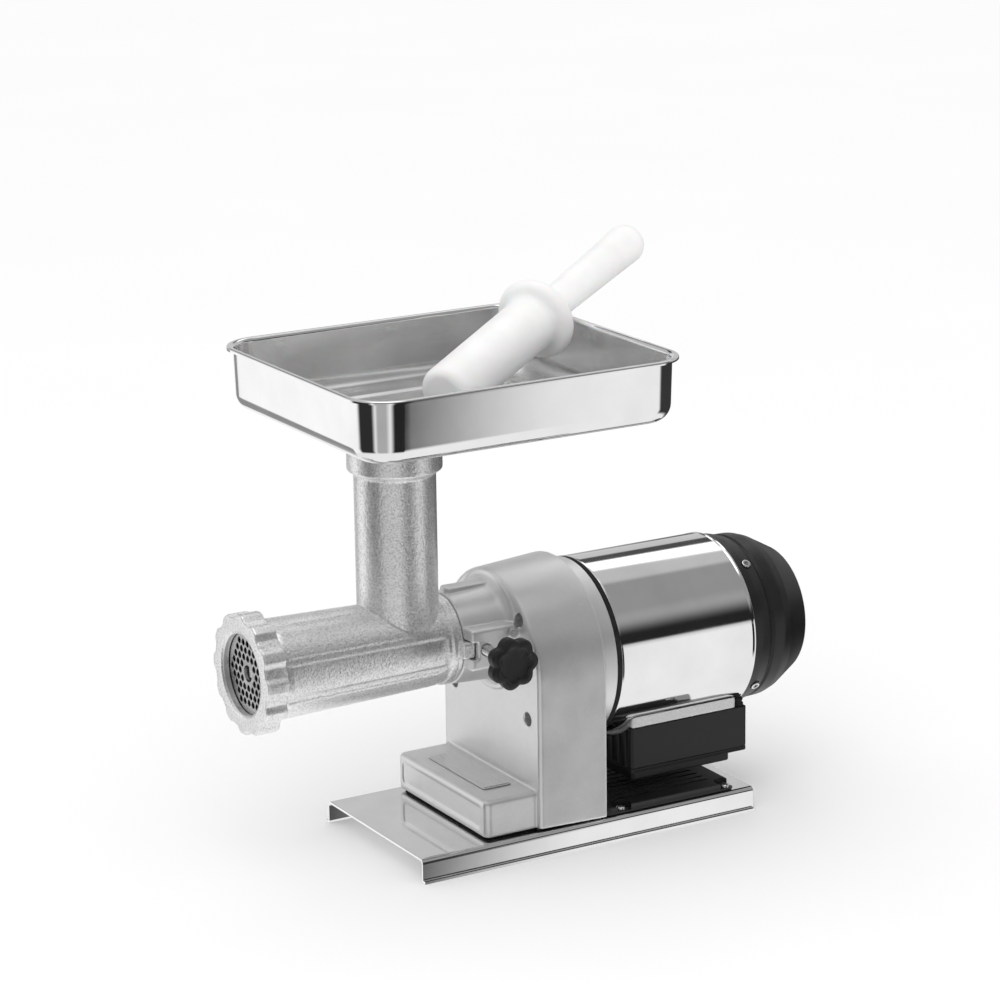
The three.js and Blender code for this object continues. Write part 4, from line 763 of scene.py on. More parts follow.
def nameplate():
    """A blank plate on the foot: a thin sheet with one dark rule at its near end."""
    (x0, x1), (y0, y1), (z0, z1) = (span("nameplate", i) for i in range(3))
    sheet = prism("foot_nameplate", soft_rectangle(x0, x1, y0, y1, 2, 8), "Z", z0, z1, 0.15, steps=2)
    put(sheet, "stand", "cast_aluminium", "nameplate", material=PLATE_METAL)
    rule = prism("nameplate_rule", soft_rectangle(x0 + 1.5, x1 - 1.5, y0 + 1.6, y0 + 2.5, 0.3, 3), "Z",
                 z1 - 0.1, z1 + 0.06)
    put(rule, "stand", "black_plastic")


def hex_tool(name, place, axis, start, end, across):
    outline = [on_circle(across / 2 / math.cos(math.pi / 6), 60 * k) for k in range(6)]
    return prism(name, outline, axis, start, end, centre=place)


def case_screws():
    """Socket screws deep in the holes of the front face."""
    for i, angle in enumerate(CASE_SCREW_ANGLES):
        y, z = on_circle(CASE_SCREW_CIRCLE, angle, 0, MOTOR_Z)
        x0 = CASE_FRONT + 6
        profile = rounded([(x0, 0), (x0, 4.6), (x0 + 5.6, 4.6), (x0 + 5.6, 2.5), (CASE_REAR + 9, 2.5),
                           (CASE_REAR + 9, 0)], [0, 0.5, 0.2, 0, 0.4, 0], 4, closed=False)
        screw = revolve(f"case_socket_screw_{i + 1}", profile, "X", (0, y, z), 48)
        # The screws take the darker steel: painted shade for their place deep in the holes of the front face.
        put(less(screw, hex_tool("hex", (0, y, z), "X", x0 - 1, x0 + 3.2, 4)), "stand", "zinc_screw",
            f"case_screw_{i + 1}", material=SHADE_DARKENED_STEEL)


# ---------------------------------------------------------------- motor
def motor_shell():
    """Flange, rubber ring, and polished sleeve with its lap seam."""
    x0, x1 = CASE_REAR + 0.3, CASE_REAR + 14.3
    disc = revolve("motor_flange_disc", rounded([(x0, 0), (x0, 71.3), (x1, 71.3), (x1, 0)], 0.9, 5,
                                                closed=False), "X", MOTOR_AXIS, 192)
    boss_front = span("rear_bearing", 0)[0]
    counter_y, counter_z = middle("countershaft", 1), middle("countershaft", 2)
    boss = revolve("boss", rod(boss_front, x0 + 2, 16.5, 0.8), "X", HEAD_AXIS, 96)
    bores = [
        revolve("b1", rod(boss_front - 2, boss_front + 10.3, 12.8), "X", HEAD_AXIS, 64),
        revolve("b2", rod(boss_front, x0 + 3, 8.5), "X", HEAD_AXIS, 64),
        revolve("b3", rod(x0 - 2, x0 + 3, 5.3), "X", (0, counter_y, counter_z), 48),
        revolve("b4", rod(x0 - 2, x1 + 2, 6.5), "X", MOTOR_AXIS, 48),
        revolve("b5", rod(x0 + 3, x1 + 2, 16), "X", MOTOR_AXIS, 64),
    ]
    for angle in CASE_SCREW_ANGLES:
        y, z = on_circle(CASE_SCREW_CIRCLE, angle, 0, MOTOR_Z)
        bores.append(revolve("tap", rod(x0 - 2, x0 + 10, 3), "X", (0, y, z), 24))
    put(less(joined(disc, boss), *bores), "stand", "cast_aluminium", "motor_flange")

    g0, g1 = span("flange_gasket", 0)
    ring = revolve("flange_rubber_ring", hollow(g0, g1, 64.5, 70.9, 0.8), "X", MOTOR_AXIS, 192)
    put(ring, "stand", "black_rubber", "flange_gasket")

    s0, s1, r = SLEEVE_FRONT, SLEEVE_REAR, SLEEVE_RADIUS
    profile = rounded([(s0, r - 1.5), (s0, r - 0.1), (s0 + 1.6, r), (s1 - 3, r), (s1 - 1.6, r + 0.45),
                       (s1, r + 0.45), (s1, r - 1.5)], [0.2, 0.5, 1.5, 1.5, 0.6, 0.5, 0.2], 4)
    sleeve = revolve("motor_polished_sleeve", profile, "X", MOTOR_AXIS, 288)
    put(sleeve, "stand", "polished_steel", "motor_sleeve")
    seam_angle, tab_angle = 240.0, 223.0
    rows = []
    length = s1 - s0 - 3.5
    for k in range(81):
        share = k / 80
        x = s0 + 1.5 + share * length
        reach = seam_angle - (seam_angle - tab_angle) * (1 - smoothstep(0.40, 0.50, share))
        angles = [reach + (seam_angle + 14 - reach) * j / 24 for j in range(25)]
        outer = [on_circle(r + 0.45 * smoothstep(0, 1.2, a - reach), a, 0, MOTOR_Z) for a in angles]
        inner = [on_circle(r - 0.2, a, 0, MOTOR_Z) for a in reversed(angles)]
        rows.append([(x, y, z) for y, z in outer + inner])
    put(skin("sleeve_lap_seam", rows), "stand", "polished_steel")


def terminal_pad():
    """The sandy cast saddle between the motor and the switch box."""
    (x0, x1), (z0, _) = span("terminal_pad", 0), span("terminal_pad", 2)
    pad_top = MOTOR_Z - math.sqrt(SLEEVE_RADIUS ** 2 - BOX_HALF ** 2)
    flat = pad_top - 0.4
    bottom = pad_top - 10.4
    outline = soft_rectangle(x0, x1, -BOX_HALF, BOX_HALF, 3, 8)
    plate = prism("terminal_saddle", outline, "Z", bottom, flat, 0.9)
    radius = SLEEVE_RADIUS + 4.3
    cradle = revolve("cradle", rod(x0 + 0.6, x1 - 0.6, radius), "X", MOTOR_AXIS, 144)
    keep = prism("keep", soft_rectangle(x0 + 0.6, x1 - 0.6, 0.6 - BOX_HALF, BOX_HALF - 0.6, 3, 8), "Z",
                 z0 - 2, bottom + 3)
    combine(cradle, "INTERSECT", [keep])
    hollow_way = revolve("hollow", rod(x0 - 2, x1 + 2, SLEEVE_RADIUS + 0.5), "X", MOTOR_AXIS, 144)
    solid = less(joined(plate, cradle), hollow_way)
    return put(cast(solid, 0.8, 2, 0.10, 1.6), "stand", "cast_aluminium", "terminal_pad", material=SANDY)


CAP_SCREW_ANGLES = (37, 127, 217, 307)
CAP_SCREW_X = middle("fan_cover_screw_1", 0)


def fan_cover():
    """The rear cap: a screwed band, a groove, a rounded band and a tapering vented end."""
    r, x0, x1 = SLEEVE_RADIUS, CAP_FRONT, CAP_REAR
    groove = x0 + 18.5
    outer = [(x0, r - 0.9), (x0 + 8, r - 1.9), (groove - 2.2, r - 4.0), (groove, r - 5.8),
             (groove + 2.2, r - 4.3), (groove + 12, r - 4.6), (groove + 20, r - 7.2), (x1, 50.9),
             (x1, 40), (x1, 0)]
    inner = [(x1 - 2.5, 0), (x1 - 2.5, 47.9), (groove, r - 9), (x0, r - 4.2)]
    radii = [0.8, 30, 1.0, 1.4, 1.2, 14, 10, 3.0, 0, 0]
    profile = rounded(outer + inner, radii + [0, 2, 4, 0.3], 8)
    profile = [(a, max(b, 0)) for a, b in profile]
    start = next(i for i, (a, b) in enumerate(profile) if b < 1e-3 and abs(a - (x1 - 2.5)) < 1e-3)
    profile = profile[start:] + profile[:start]
    cap = revolve("motor_rear_cap", profile, "X", MOTOR_AXIS, 216)
    tools = []
    for k in range(12):
        slot = prism("vent", soft_rectangle(16, 43, -2.2, 2.2, 2.15, 6), "X", x1 - 8, x1 + 4)
        slot.data.transform(Matrix.Rotation(math.radians(30 * k + 90), 4, "X"))
        slot.data.transform(Matrix.Translation((0, 0, MOTOR_Z * MM)))
        tools.append(slot)
    for angle in CAP_SCREW_ANGLES:
        tools.append(radial("sink", rod(r - 3.8, r + 4, 4.3), angle, 48))
        tools.append(radial("hole", rod(r - 20, r - 2, 2.4), angle, 24))
    put(less(cap, *tools), "stand", "black_plastic", "fan_cover")


def radial(name, profile, angle, sides):
    """A turned piece that points straight out of the motor axis at a cap screw.

    Its profile starts on that axis.
    """
    piece = revolve(name, profile, "Z", (0, 0, 0), sides)
    piece.data.transform(Matrix.Rotation(math.radians(angle), 4, "X"))
    piece.data.transform(Matrix.Translation((CAP_SCREW_X * MM, 0, MOTOR_Z * MM)))
    return piece


def cap_screws():
    top = SLEEVE_RADIUS - 0.6
    for i, angle in enumerate(CAP_SCREW_ANGLES):
        profile = rounded([(top - 11, 0), (top - 11, 2), (top - 3.0, 2), (top - 3.0, 3.6), (top, 3.6),
                           (top, 0)], [0, 0.4, 0, 0.2, 0.6, 0], 4, closed=False)
        screw = radial(f"cap_socket_screw_{i + 1}", profile, angle, 48)
        hexagon = radial("hex", rod(top - 2.2, top + 2, 2.3), angle, 6)
        put(less(screw, hexagon), "stand", "zinc_screw", f"fan_cover_screw_{i + 1}")


# ---------------------------------------------------------------- switch box
def switch_box():
    """The black box under the motor, its ribs, its lid, the gland and the rocker switch."""
    x1 = span("switch_box", 0)[1]
    x0 = x1 - 108.5
    z0, z1 = span("switch_box", 2)
    shell = prism("switch_housing", soft_rectangle(x0, x1, -BOX_HALF, BOX_HALF, 2.5, 8), "Z", z0, z1, 0.5)
    ribs = [block("rib", (x0 - 1.6, x0 + 1), (y - 1.1, y + 1.1), (z0 + 0.8, z1 - 3), 0.4, 0.6)
            for y in [(i - 4.5) * 10 for i in range(10)]]
    saddle = revolve("saddle", rod(x0 - 5, x1 + 5, SLEEVE_RADIUS + 4.6), "X", MOTOR_AXIS, 144)
    room = block("room", (x0 + 2.5, x1 - 2.5), (2.5 - BOX_HALF, BOX_HALF - 2.5), (z0 - 2, z1 - 2.5), 0, 0)
    roof = revolve("roof", rod(x0 - 5, x1 + 5, SLEEVE_RADIUS + 7.1), "X", MOTOR_AXIS, 144)
    less(room, roof)
    rocker_x, rocker_z = middle("switch_bezel", 0), middle("switch_bezel", 2)
    gland_x, gland_z = middle("cable_gland", 0), middle("cable_gland", 2)
    window = block("window", (rocker_x - 7.5, rocker_x + 7.5), (BOX_HALF - 4, BOX_HALF + 3),
                   (rocker_z - 11.5, rocker_z + 11.5), 0, 0)
    gland_hole = revolve("gland_hole", rod(BOX_HALF - 4, BOX_HALF + 3, 7.9), "Y", (gland_x, 0, gland_z), 48)
    body = less(joined(shell, *ribs), saddle, room, window, gland_hole)
    put(body, "stand", "black_plastic", "switch_box", material=BOX_PLASTIC)

    l0, l1 = span("box_lid", 2)
    flange = prism("switch_box_lid", soft_rectangle(x0, x1, -BOX_HALF, BOX_HALF, 2.5, 8), "Z", l1 - 3.2, l1,
                   0.4)
    pan = prism("pan", soft_rectangle(x0 + 0.5, x1 - 16, 0.5 - BOX_HALF, BOX_HALF - 0.5, 3, 8), "Z", l0,
                l1 - 2, 1.2)
    teeth = []
    count = 54
    for k in range(count):
        x = x0 + 4 + (x1 - x0 - 8) * k / (count - 1)
        teeth.append(block("notch", (x - 0.45, x + 0.45), (-BOX_HALF - 1, 0.5 - BOX_HALF),
                           (l1 - 2.6, l1 - 0.9), 0, 0))
    lid = less(joined(flange, pan), merged("teeth", teeth))
    put(lid, "stand", "black_plastic", "box_lid", material=BOX_PLASTIC)

    def bezel_block(name, extra, y0, y1, edge):
        outline = soft_rectangle(rocker_z - 10 - extra, rocker_z + 10 + extra, rocker_x - 6 - extra,
                                 rocker_x + 6 + extra, 1.2, 5)
        return prism(name, outline, "Y", y0, y1, edge)

    bezel = joined(bezel_block("switch_bezel_frame", 3.4, BOX_HALF + 0.3, BOX_HALF + 2.5, 0.6),
                   bezel_block("neck", 1.1, BOX_HALF - 4.5, BOX_HALF + 1, 0))
    cutter = prism("cutter", rectangle(rocker_z - 10.5, rocker_z + 10.5, rocker_x - 6.5, rocker_x + 6.5), "Y",
                   BOX_HALF - 6, BOX_HALF + 4)
    put(less(bezel, cutter), "stand", "black_plastic", "switch_bezel")

    reach, pivot = 9.2, BOX_HALF - 1
    outline = rounded([(pivot - 3, rocker_z - reach + 1.5), (pivot + 1.5, rocker_z - reach),
                       (pivot + 5.4, rocker_z - reach + 0.8), (pivot + 3.4, rocker_z),
                       (pivot + 2.4, rocker_z + reach - 0.4), (pivot - 3, rocker_z + reach - 1.5)],
                      [0.4, 0.4, 0.8, 14, 0.8, 0.4], 6)
    rocker = prism("power_rocker", outline, "X", rocker_x - 6, rocker_x + 6, 0.5)
    put(rocker, "rocker", "black_plastic", "rocker_switch", material=KNOB_PLASTIC)

    w = BOX_HALF
    gland = revolve("mains_gland", rounded(
        [(w - 7.5, 4.2), (w - 7.5, 7.6), (w + 0.3, 7.6), (w + 0.3, 10.5), (w + 4, 10.5), (w + 5, 9.5),
         (w + 12, 9), (w + 15, 6.6), (w + 15, 4.2)], [0.2, 0.5, 0.1, 0.5, 0.6, 0.3, 1.5, 1.0, 0.4], 4), "Y",
        (gland_x, 0, gland_z), 72)
    flutes = [revolve("flute", rod(w + 6, w + 14, 0.9), "Y",
                      (gland_x + 10.0 * math.cos(math.radians(20 * k)), 0,
                       gland_z + 10.0 * math.sin(math.radians(20 * k))), 12) for k in range(18)]
    put(less(gland, merged("flutes", flutes)), "stand", "black_plastic", "cable_gland")

    grommet_x, grommet_y, grommet_z = x1 - 5, 6 - BOX_HALF, z1 + 0.2
    stalk = rounded([(grommet_z - 1, 0), (grommet_z - 1, 4.6), (grommet_z + 2, 4.6), (grommet_z + 2.6, 3.6),
                     (grommet_z + 4, 3.6), (grommet_z + 4.6, 4.4), (grommet_z + 6.6, 3.4),
                     (grommet_z + 7, 0)], [0, 0.3, 0.6, 0.4, 0.4, 0.8, 1.2, 0], 4, closed=False)
    put(revolve("wire_grommet", stalk, "Z", (grommet_x, grommet_y, 0), 48), "stand", "black_rubber")


# ---------------------------------------------------------------- mincing head
BANDS = 8


def band_row(x, base, rise, count=320):
    """The barrel's outline: a circle with raised flat bands between narrow valleys."""
    row = []
    for k in range(count):
        turn = 360 * k / count
        share = (turn / (360 / BANDS) + 0.5) % 1 - 0.5
        up = rise * (1 - smoothstep(0.36, 0.45, abs(share)))
        y, z = on_circle(base + up, turn, 0, HEAD_Z)
        row.append((x, y, z))
    return row


def thread(x0, x1, root, crest, pitch=2.6):
    """The zigzag of a coarse thread's profile, from its first ridge to its last."""
    turns = int((x1 - x0) / pitch)
    points = []
    for k in range(turns):
        a = x0 + k * pitch
        points += [(a, root), (a + 0.35 * pitch, crest), (a + 0.6 * pitch, crest), (a + 0.95 * pitch, root)]
    return points


def head_casting():
    """Barrel with raised bands, threaded mouth, rear flange with a lug, spigot, feed neck with a collar."""
    front_radius, rear_radius = 37.4, 33.9
    bands_end = BARREL_REAR - 12

    def taper(x):
        return front_radius + (rear_radius - front_radius) * (x - NUT_REAR) / (bands_end - NUT_REAR)

    x0 = NUT_REAR + 1
    rows = [band_row(x0, taper(x0), 0.0)]
    for step, rise in ((2, 0.4), (4, 0.9), (6, 1.1)):
        rows.append(band_row(x0 + step, taper(x0 + step), rise))
    for step, rise in ((6, 1.1), (4, 0.9), (2, 0.4), (0, 0.0)):
        rows.append(band_row(bands_end - step, taper(bands_end - step), rise))
    barrel = skin("head_barrel_casting", rows)
    mouth_x = HOLE_PLATE_FRONT + 2
    mouth = revolve("mouth", [(mouth_x, 0), (mouth_x, 38)] + thread(mouth_x + 0.5, NUT_REAR, 38.2, 39.4) +
                    [(NUT_REAR + 0.3, 38.2), (NUT_REAR + 0.3, 0)], "X", HEAD_AXIS, 192)
    shoulder = revolve("shoulder", rod(NUT_REAR, NUT_REAR + 2, 38), "X", HEAD_AXIS, 144)
    rear = rounded([(bands_end - 3, 0), (bands_end - 3, rear_radius - 0.5),
                    (BARREL_REAR - 9, rear_radius + 0.2), (BARREL_REAR - 8.2, rear_radius + 1.4),
                    (BARREL_REAR - 4.4, rear_radius + 1.6),
                    (BARREL_REAR - 3.6, rear_radius + 0.4), (BARREL_REAR - 2.8, rear_radius + 1.6),
                    (BARREL_REAR, rear_radius + 1.4), (BARREL_REAR, 0)], [0, 1, 2, 1, 0.8, 0.4, 0.8, 1, 0], 4,
                   closed=False)
    flange = revolve("flange", rear, "X", HEAD_AXIS, 144)
    spigot = revolve("spigot", rod(BARREL_REAR - 1, SNOUT_FRONT + 21.6, SNOUT_BORE - 0.5, 1.0), "X",
                     HEAD_AXIS, 144)
    lug = block("lug", (BARREL_REAR - 4, SNOUT_FRONT + 6), (-41, 3 - rear_radius),
                (HEAD_Z - 6.5, HEAD_Z + 6.5), 1.5, 1.5)
    neck_radius, collar_radius, collar_depth, collar_slope = 31, 36, 32, 3
    neck_profile = rounded([(HEAD_Z, 0), (HEAD_Z, neck_radius),
                            (NECK_TOP - (collar_depth + collar_slope), neck_radius),
                            (NECK_TOP - collar_depth, collar_radius), (NECK_TOP, collar_radius),
                            (NECK_TOP, 0)], [0, 0, 3, 1.6, 1.2, 0], 6, closed=False)
    neck = revolve("neck", neck_profile, "Z", (NECK_X, 0, 0), 192)
    solid = joined(barrel, mouth, shoulder, flange, spigot, lug, neck)

    auger_front = HOLE_PLATE_REAR + 8.6
    wall = BARREL_REAR - 7.6
    bore = revolve("bore", [(mouth_x - 2, 0), (mouth_x - 2, 35.5), (auger_front, 35.5), (auger_front, 27.5),
                            (wall, 27.5), (wall, 12.5), (BARREL_REAR + 0.1, 12.5), (BARREL_REAR + 0.1, 23.9),
                            (SNOUT_FRONT + 24, 23.9), (SNOUT_FRONT + 24, 0)], "X", HEAD_AXIS, 144)
    throat = revolve("throat", [(HEAD_Z, 0), (HEAD_Z, 25), (NECK_TOP - 24, 25), (NECK_TOP - 22, 28.3),
                                (NECK_TOP + 2, 28.3), (NECK_TOP + 2, 0)], "Z", (NECK_X, 0, 0), 144)
    pin = revolve("pin", rod(mouth_x - 2, mouth_x + 12, 2.3), "X", (0, 0, HEAD_Z + 35), 24)
    solid = less(solid, bore, throat, pin)
    return put(cast(solid, 0.7, 2, 0.10, 1.7), "head", "tinned_iron", "head_casting")


def ring_nut():
    """Twelve scalloped lobes round a threaded ring, with a lip that holds the hole plate."""
    lobes, crest, valley, opening = 12, 46.4, 43.2, 31
    bore = 39.9
    count = 480

    def row(x, shift, inset=0.0):
        points = []
        for k in range(count):
            turn = 360 * k / count
            share = (turn * lobes / 360) % 1
            dip = smoothstep(0.12, 0.38, share) * (1 - smoothstep(0.62, 0.88, share))
            radius = crest - (crest - valley) * dip * shift - inset
            y, z = on_circle(radius, turn, 0, HEAD_Z)
            points.append((x, y, z))
        return points

    def circle(x, radius):
        return [(x, *on_circle(radius, 360 * k / count, 0, HEAD_Z)) for k in range(count)]

    x0, x1 = NUT_FRONT, NUT_REAR
    round_edge = 1.8
    rows = [circle(x0 + 0.6, opening + 1.2), circle(x0 + 0.1, opening + 2.0), circle(x0, opening + 3.2),
            circle(x0, crest - 8), row(x0 + 0.05, 0.9, 3.0)]
    rows += [row(x0 + round_edge * along, 1, round_edge * inward) for along, inward in quarter(5, 1)]
    rows += [row(x0 + 8, 1), row(x1 - 6, 1), row(x1 - 1.2, 1, 0.0), row(x1 - 0.3, 1, 0.5), row(x1, 1, 1.4),
             circle(x1, bore + 1.4), circle(x1 - 0.8, bore + 0.6)]
    inner = thread(x0 + 7, x1 - 1, bore + 1.0, bore)
    rows += [circle(x, radius) for x, radius in reversed(inner)]
    rows += [circle(x0 + 6, bore + 0.8), circle(x0 + 6, opening + 1), circle(x0 + 5.6, opening),
             circle(x0 + 1.6, opening), circle(x0 + 1.1, opening + 0.5)]
    nut = skin("head_ring_nut", rows, ring=True, sharp=40)
    return put(nut, "nut", "tinned_iron", "ring_nut")


def hole_plate():
    """The perforated plate: rows of round holes, a key notch and the middle hole for the stud."""
    x0, x1, radius, pitch, hole = HOLE_PLATE_FRONT, HOLE_PLATE_REAR, 35, 6.6, 5.0
    chamfer = 0.35
    mouth = hole / 2 + chamfer
    disc = revolve("mincing_hole_plate", rod(x0, x1, radius, 0.6), "X", HEAD_AXIS, 144)
    tools = []
    for row in range(-6, 7):
        for column in range(-6, 7):
            y, z = (column + (row % 2) / 2) * pitch, row * pitch * math.sin(math.pi / 3)
            off = math.hypot(y, z)
            if 10 <= off <= 31 - hole / 2 - 0.4:
                profile = [(x0 - 2, 0), (x0 - 2, mouth), (x0, mouth), (x0 + chamfer, hole / 2),
                           (x1 - chamfer, hole / 2), (x1, mouth), (x1 + 2, mouth), (x1 + 2, 0)]
                tools.append(revolve("hole", profile, "X", (0, y, HEAD_Z + z), 28))
    tools.append(revolve("middle", rod(x0 - 2, x1 + 2, 6.4), "X", HEAD_AXIS, 48))
    tools.append(revolve("notch", rod(x0 - 2, x1 + 2, 2.5), "X", (0, 0, HEAD_Z + radius), 24))
    plate = less(disc, merged("holes", tools))
    # The plate takes the darker steel: painted shade for the recess it sits in behind the nut's lip.
    return put(plate, "plate", "machined_steel", "hole_plate", material=SHADE_DARKENED_STEEL)


def auger():
    """The screw: a core with one helical flight, a rear disc, a journal, a square tail and a front stud."""
    x0, x1 = HOLE_PLATE_REAR + 8.6, BARREL_REAR - 11.1
    tip, core_radius, pitch = 26.6, 12, 34
    f0, f1 = x0 + 4, x1 - 4
    turns = (f1 - f0) / pitch
    steps = int(turns * 48)
    rows = []
    for k in range(steps + 1):
        along, angle = f0 + (f1 - f0) * k / steps, 360 * turns * k / steps
        section = rounded([(-3.6, core_radius - 3), (-1.5, tip), (1.5, tip), (3.6, core_radius - 3)],
                          [0, 0.9, 0.9, 0], 3, closed=False)
        rows.append([(along + shift, *on_circle(radius, angle, 0, HEAD_Z)) for shift, radius in section])
    flight = skin("flight", rows)
    core = revolve("auger_screw", rounded(
        [(x0, 0), (x0, core_radius), (x1 - 6, core_radius + 1), (x1 - 4, tip), (x1, tip), (x1, 12),
         (SNOUT_FRONT + 9, 12), (SNOUT_FRONT + 9, 0)], [0, 1.0, 4, 1, 0.6, 0.8, 0.8, 0], 5, closed=False),
        "X", HEAD_AXIS, 96)
    tail = prism("tail", soft_rectangle(-7, 7, HEAD_Z - 7, HEAD_Z + 7, 0.8, 3), "X", SNOUT_FRONT + 8,
                 SNOUT_FRONT + 30.6, 0.8)
    stud = prism("stud", soft_rectangle(-4.2, 4.2, HEAD_Z - 4.2, HEAD_Z + 4.2, 0.5, 3), "X",
                 HOLE_PLATE_FRONT + 3, x0 + 2, 0.5)
    return put(joined(core, flight, tail, stud), "auger", "tinned_iron", "auger")


def knife():
    """A cross of four blades on a square-holed hub."""
    x0, x1 = span("knife", 0)
    hub = revolve("cross_knife", rod(x0, x1, 11, 0.8), "X", HEAD_AXIS, 72)
    blades = []
    for k in range(4):
        outline = rounded([(-5, 4), (5, 4), (6.5, 32), (-3, 32)], [0, 0, 1, 2], 4)
        blade = prism("blade", outline, "X", x0, x1 - 2, 0.5)
        blade.data.transform(Matrix.Rotation(math.radians(90 * k), 4, "X"))
        blade.data.transform(Matrix.Translation((0, 0, HEAD_Z * MM)))
        blades.append(blade)
    square = prism("square", soft_rectangle(-4.5, 4.5, HEAD_Z - 4.5, HEAD_Z + 4.5, 0.4, 2), "X", x0 - 2,
                   x1 + 2)
    return put(less(joined(hub, *blades), square), "auger", "machined_steel", "knife")


# ---------------------------------------------------------------- clamp
def clamp():
    """A seven-lobed knob on a threaded stud."""
    stud_x = middle("clamp_stud", 0)
    y0, y1 = span("clamp_stud", 1)
    knob_front, knob_back = span("clamp_knob", 1)
    ridges = thread(knob_back + 1.0, y1 - 4, 3.45, 4.0, 1.25)
    profile = [(y0, 0), (y0, 3.4), (knob_back + 0.8, 3.4)] + ridges + [(y1 - 3.5, 3.2), (y1, 2.6), (y1, 0)]
    stud = revolve("clamp_threaded_stud", profile, "Y", (stud_x, 0, HEAD_Z), 48)
    put(stud, "stud", "zinc_screw", "clamp_stud")

    lobes, radius, count = 7, 20.5, 336

    def row(y, inset, depth=1.0):
        points = []
        for k in range(count):
            turn = 360 * k / count
            wave = (1 + math.cos(math.radians(turn * lobes))) / 2
            reach = radius - inset - 3.0 * depth * (1 - wave ** 0.62)
            a, b = on_circle(reach, turn, stud_x, HEAD_Z)
            points.append((a, y, b))
        return points

    front = knob_front
    rows = [row(front + 1.5, 14, 0.1), row(front + 1.3, 9.5, 0.3), row(front + 1.0, 7.5, 0.5),
            row(front + 0.35, 6.8, 0.7), row(front, 5.6, 0.8), row(front + 0.1, 4.2, 0.9)]
    rows += [row(front + 0.1 + 3.6 * along, 3.6 * inward * 0.95, 1) for along, inward in quarter(6, 1)]
    rows += [row(knob_back - 8.6, 0.3), row(knob_back - 6.8, 1.0), row(knob_back - 5.6, 2.6),
             row(knob_back - 5, 4.6)]
    grip = skin("clamp_lobed_knob", rows, sharp=40)
    collar = revolve("collar", rod(knob_back - 7, knob_back, 9.5, 0.8), "Y", (stud_x, 0, HEAD_Z), 72)
    bore = revolve("bore", rod(knob_back - 10.6, knob_back + 2, 4.3), "Y", (stud_x, 0, HEAD_Z), 48)
    knob = less(joined(grip, collar), bore, sharp=40)
    put(knob, "knob", "black_plastic", "clamp_knob", material=KNOB_PLASTIC)


# ---------------------------------------------------------------- tray and pusher
def tray():
    """A drawn tray: rolled-out rim, drafted walls, rounded foot, sunk panel and a spout for the neck."""
    (x0, x1), (y0, y1), (_, top) = (span("tray", axis) for axis in range(3))
    t = 1.2
    rim, draft, band = 5.5, 1.5, TRAY_BOTTOM + 2
    rim_corner, least_corner, fold = 33.3, 4.5, 12.4
    foot = rim + draft
    spout_radius = 27.7 - t / 2
    spout_end = NECK_TOP - 21
    panel = foot + 34
    # The sheet's middle line, as (distance in from the rim's edge, height), from the rim to the panel
    line = rounded([(0.6, top - 2.4), (0.6, top - t / 2), (rim, top - t / 2), (foot, band + t / 2),
                    (panel - 3, band + t / 2), (panel, TRAY_BOTTOM + t / 2),
                    (panel + 4, TRAY_BOTTOM + t / 2)], [0, 0.9, 2.6, fold, 2.0, 2.0, 0], 10, closed=False)

    def offset(points, distance):
        made = []
        for i, p in enumerate(points):
            before, after = Vector(points[max(i - 1, 0)]), Vector(points[min(i + 1, len(points) - 1)])
            along = (after - before).normalized()
            made.append((p[0] - along.y * distance, p[1] + along.x * distance))
        return made

    upper, lower = offset(line, t / 2), offset(line, -t / 2)

    def around(inset, z):
        corner = max(least_corner, rim_corner - inset)
        outline = soft_rectangle(x0 + inset, x1 - inset, y0 + inset, y1 - inset, corner, 24, 40)
        return [(x, y, z) for x, y in outline]

    angles = [math.degrees(math.atan2(y, x - NECK_X)) for x, y, _ in around(panel + 4, 0)]

    def circle(radius, z):
        return [(*on_circle(radius, a, NECK_X, 0), z) for a in angles]

    rows = [around(inset, z) for inset, z in upper]
    floor_top, floor_under = TRAY_BOTTOM + t, TRAY_BOTTOM
    bend = 3.0
    inside, outside = spout_radius - t / 2, spout_radius + t / 2
    rows.append(circle(inside + bend + 8, floor_top))
    rows += [circle(inside + bend * inward, floor_top - bend * along) for along, inward in quarter(6)]
    rows += [circle(inside, spout_end + 0.5), circle(inside + 0.3, spout_end),
             circle(outside - 0.3, spout_end), circle(outside, spout_end + 0.5)]
    rows += [circle(outside, floor_under - 0.5), circle(outside + 0.6, floor_under), circle(inside + bend + 8,
                                                                                          floor_under)]
    rows += [around(inset, z) for inset, z in reversed(lower)]
    pan = put(skin("feed_tray", rows, ring=True, sharp=60), "tray", "polished_steel", "tray")
    pan.data.materials.append(SATIN_STEEL)
    wall_in, wall_top = rim + 0.2, top - 4
    for face in pan.data.polygons:
        x, y, z = face.center / MM
        near = x0 + wall_in < x < x1 - wall_in and y0 + wall_in < y < y1 - wall_in
        if near and z < wall_top and face.normal.z > -0.05 and facing_in(face, x, y, (x0 + x1) / 2):
            face.material_index = 1
    return pan


def facing_in(face, x, y, middle_x):
    """Whether a face of the tray looks up, or towards the middle of the tray."""
    return face.normal.z > 0.5 or face.normal.x * (middle_x - x) - face.normal.y * y > 0


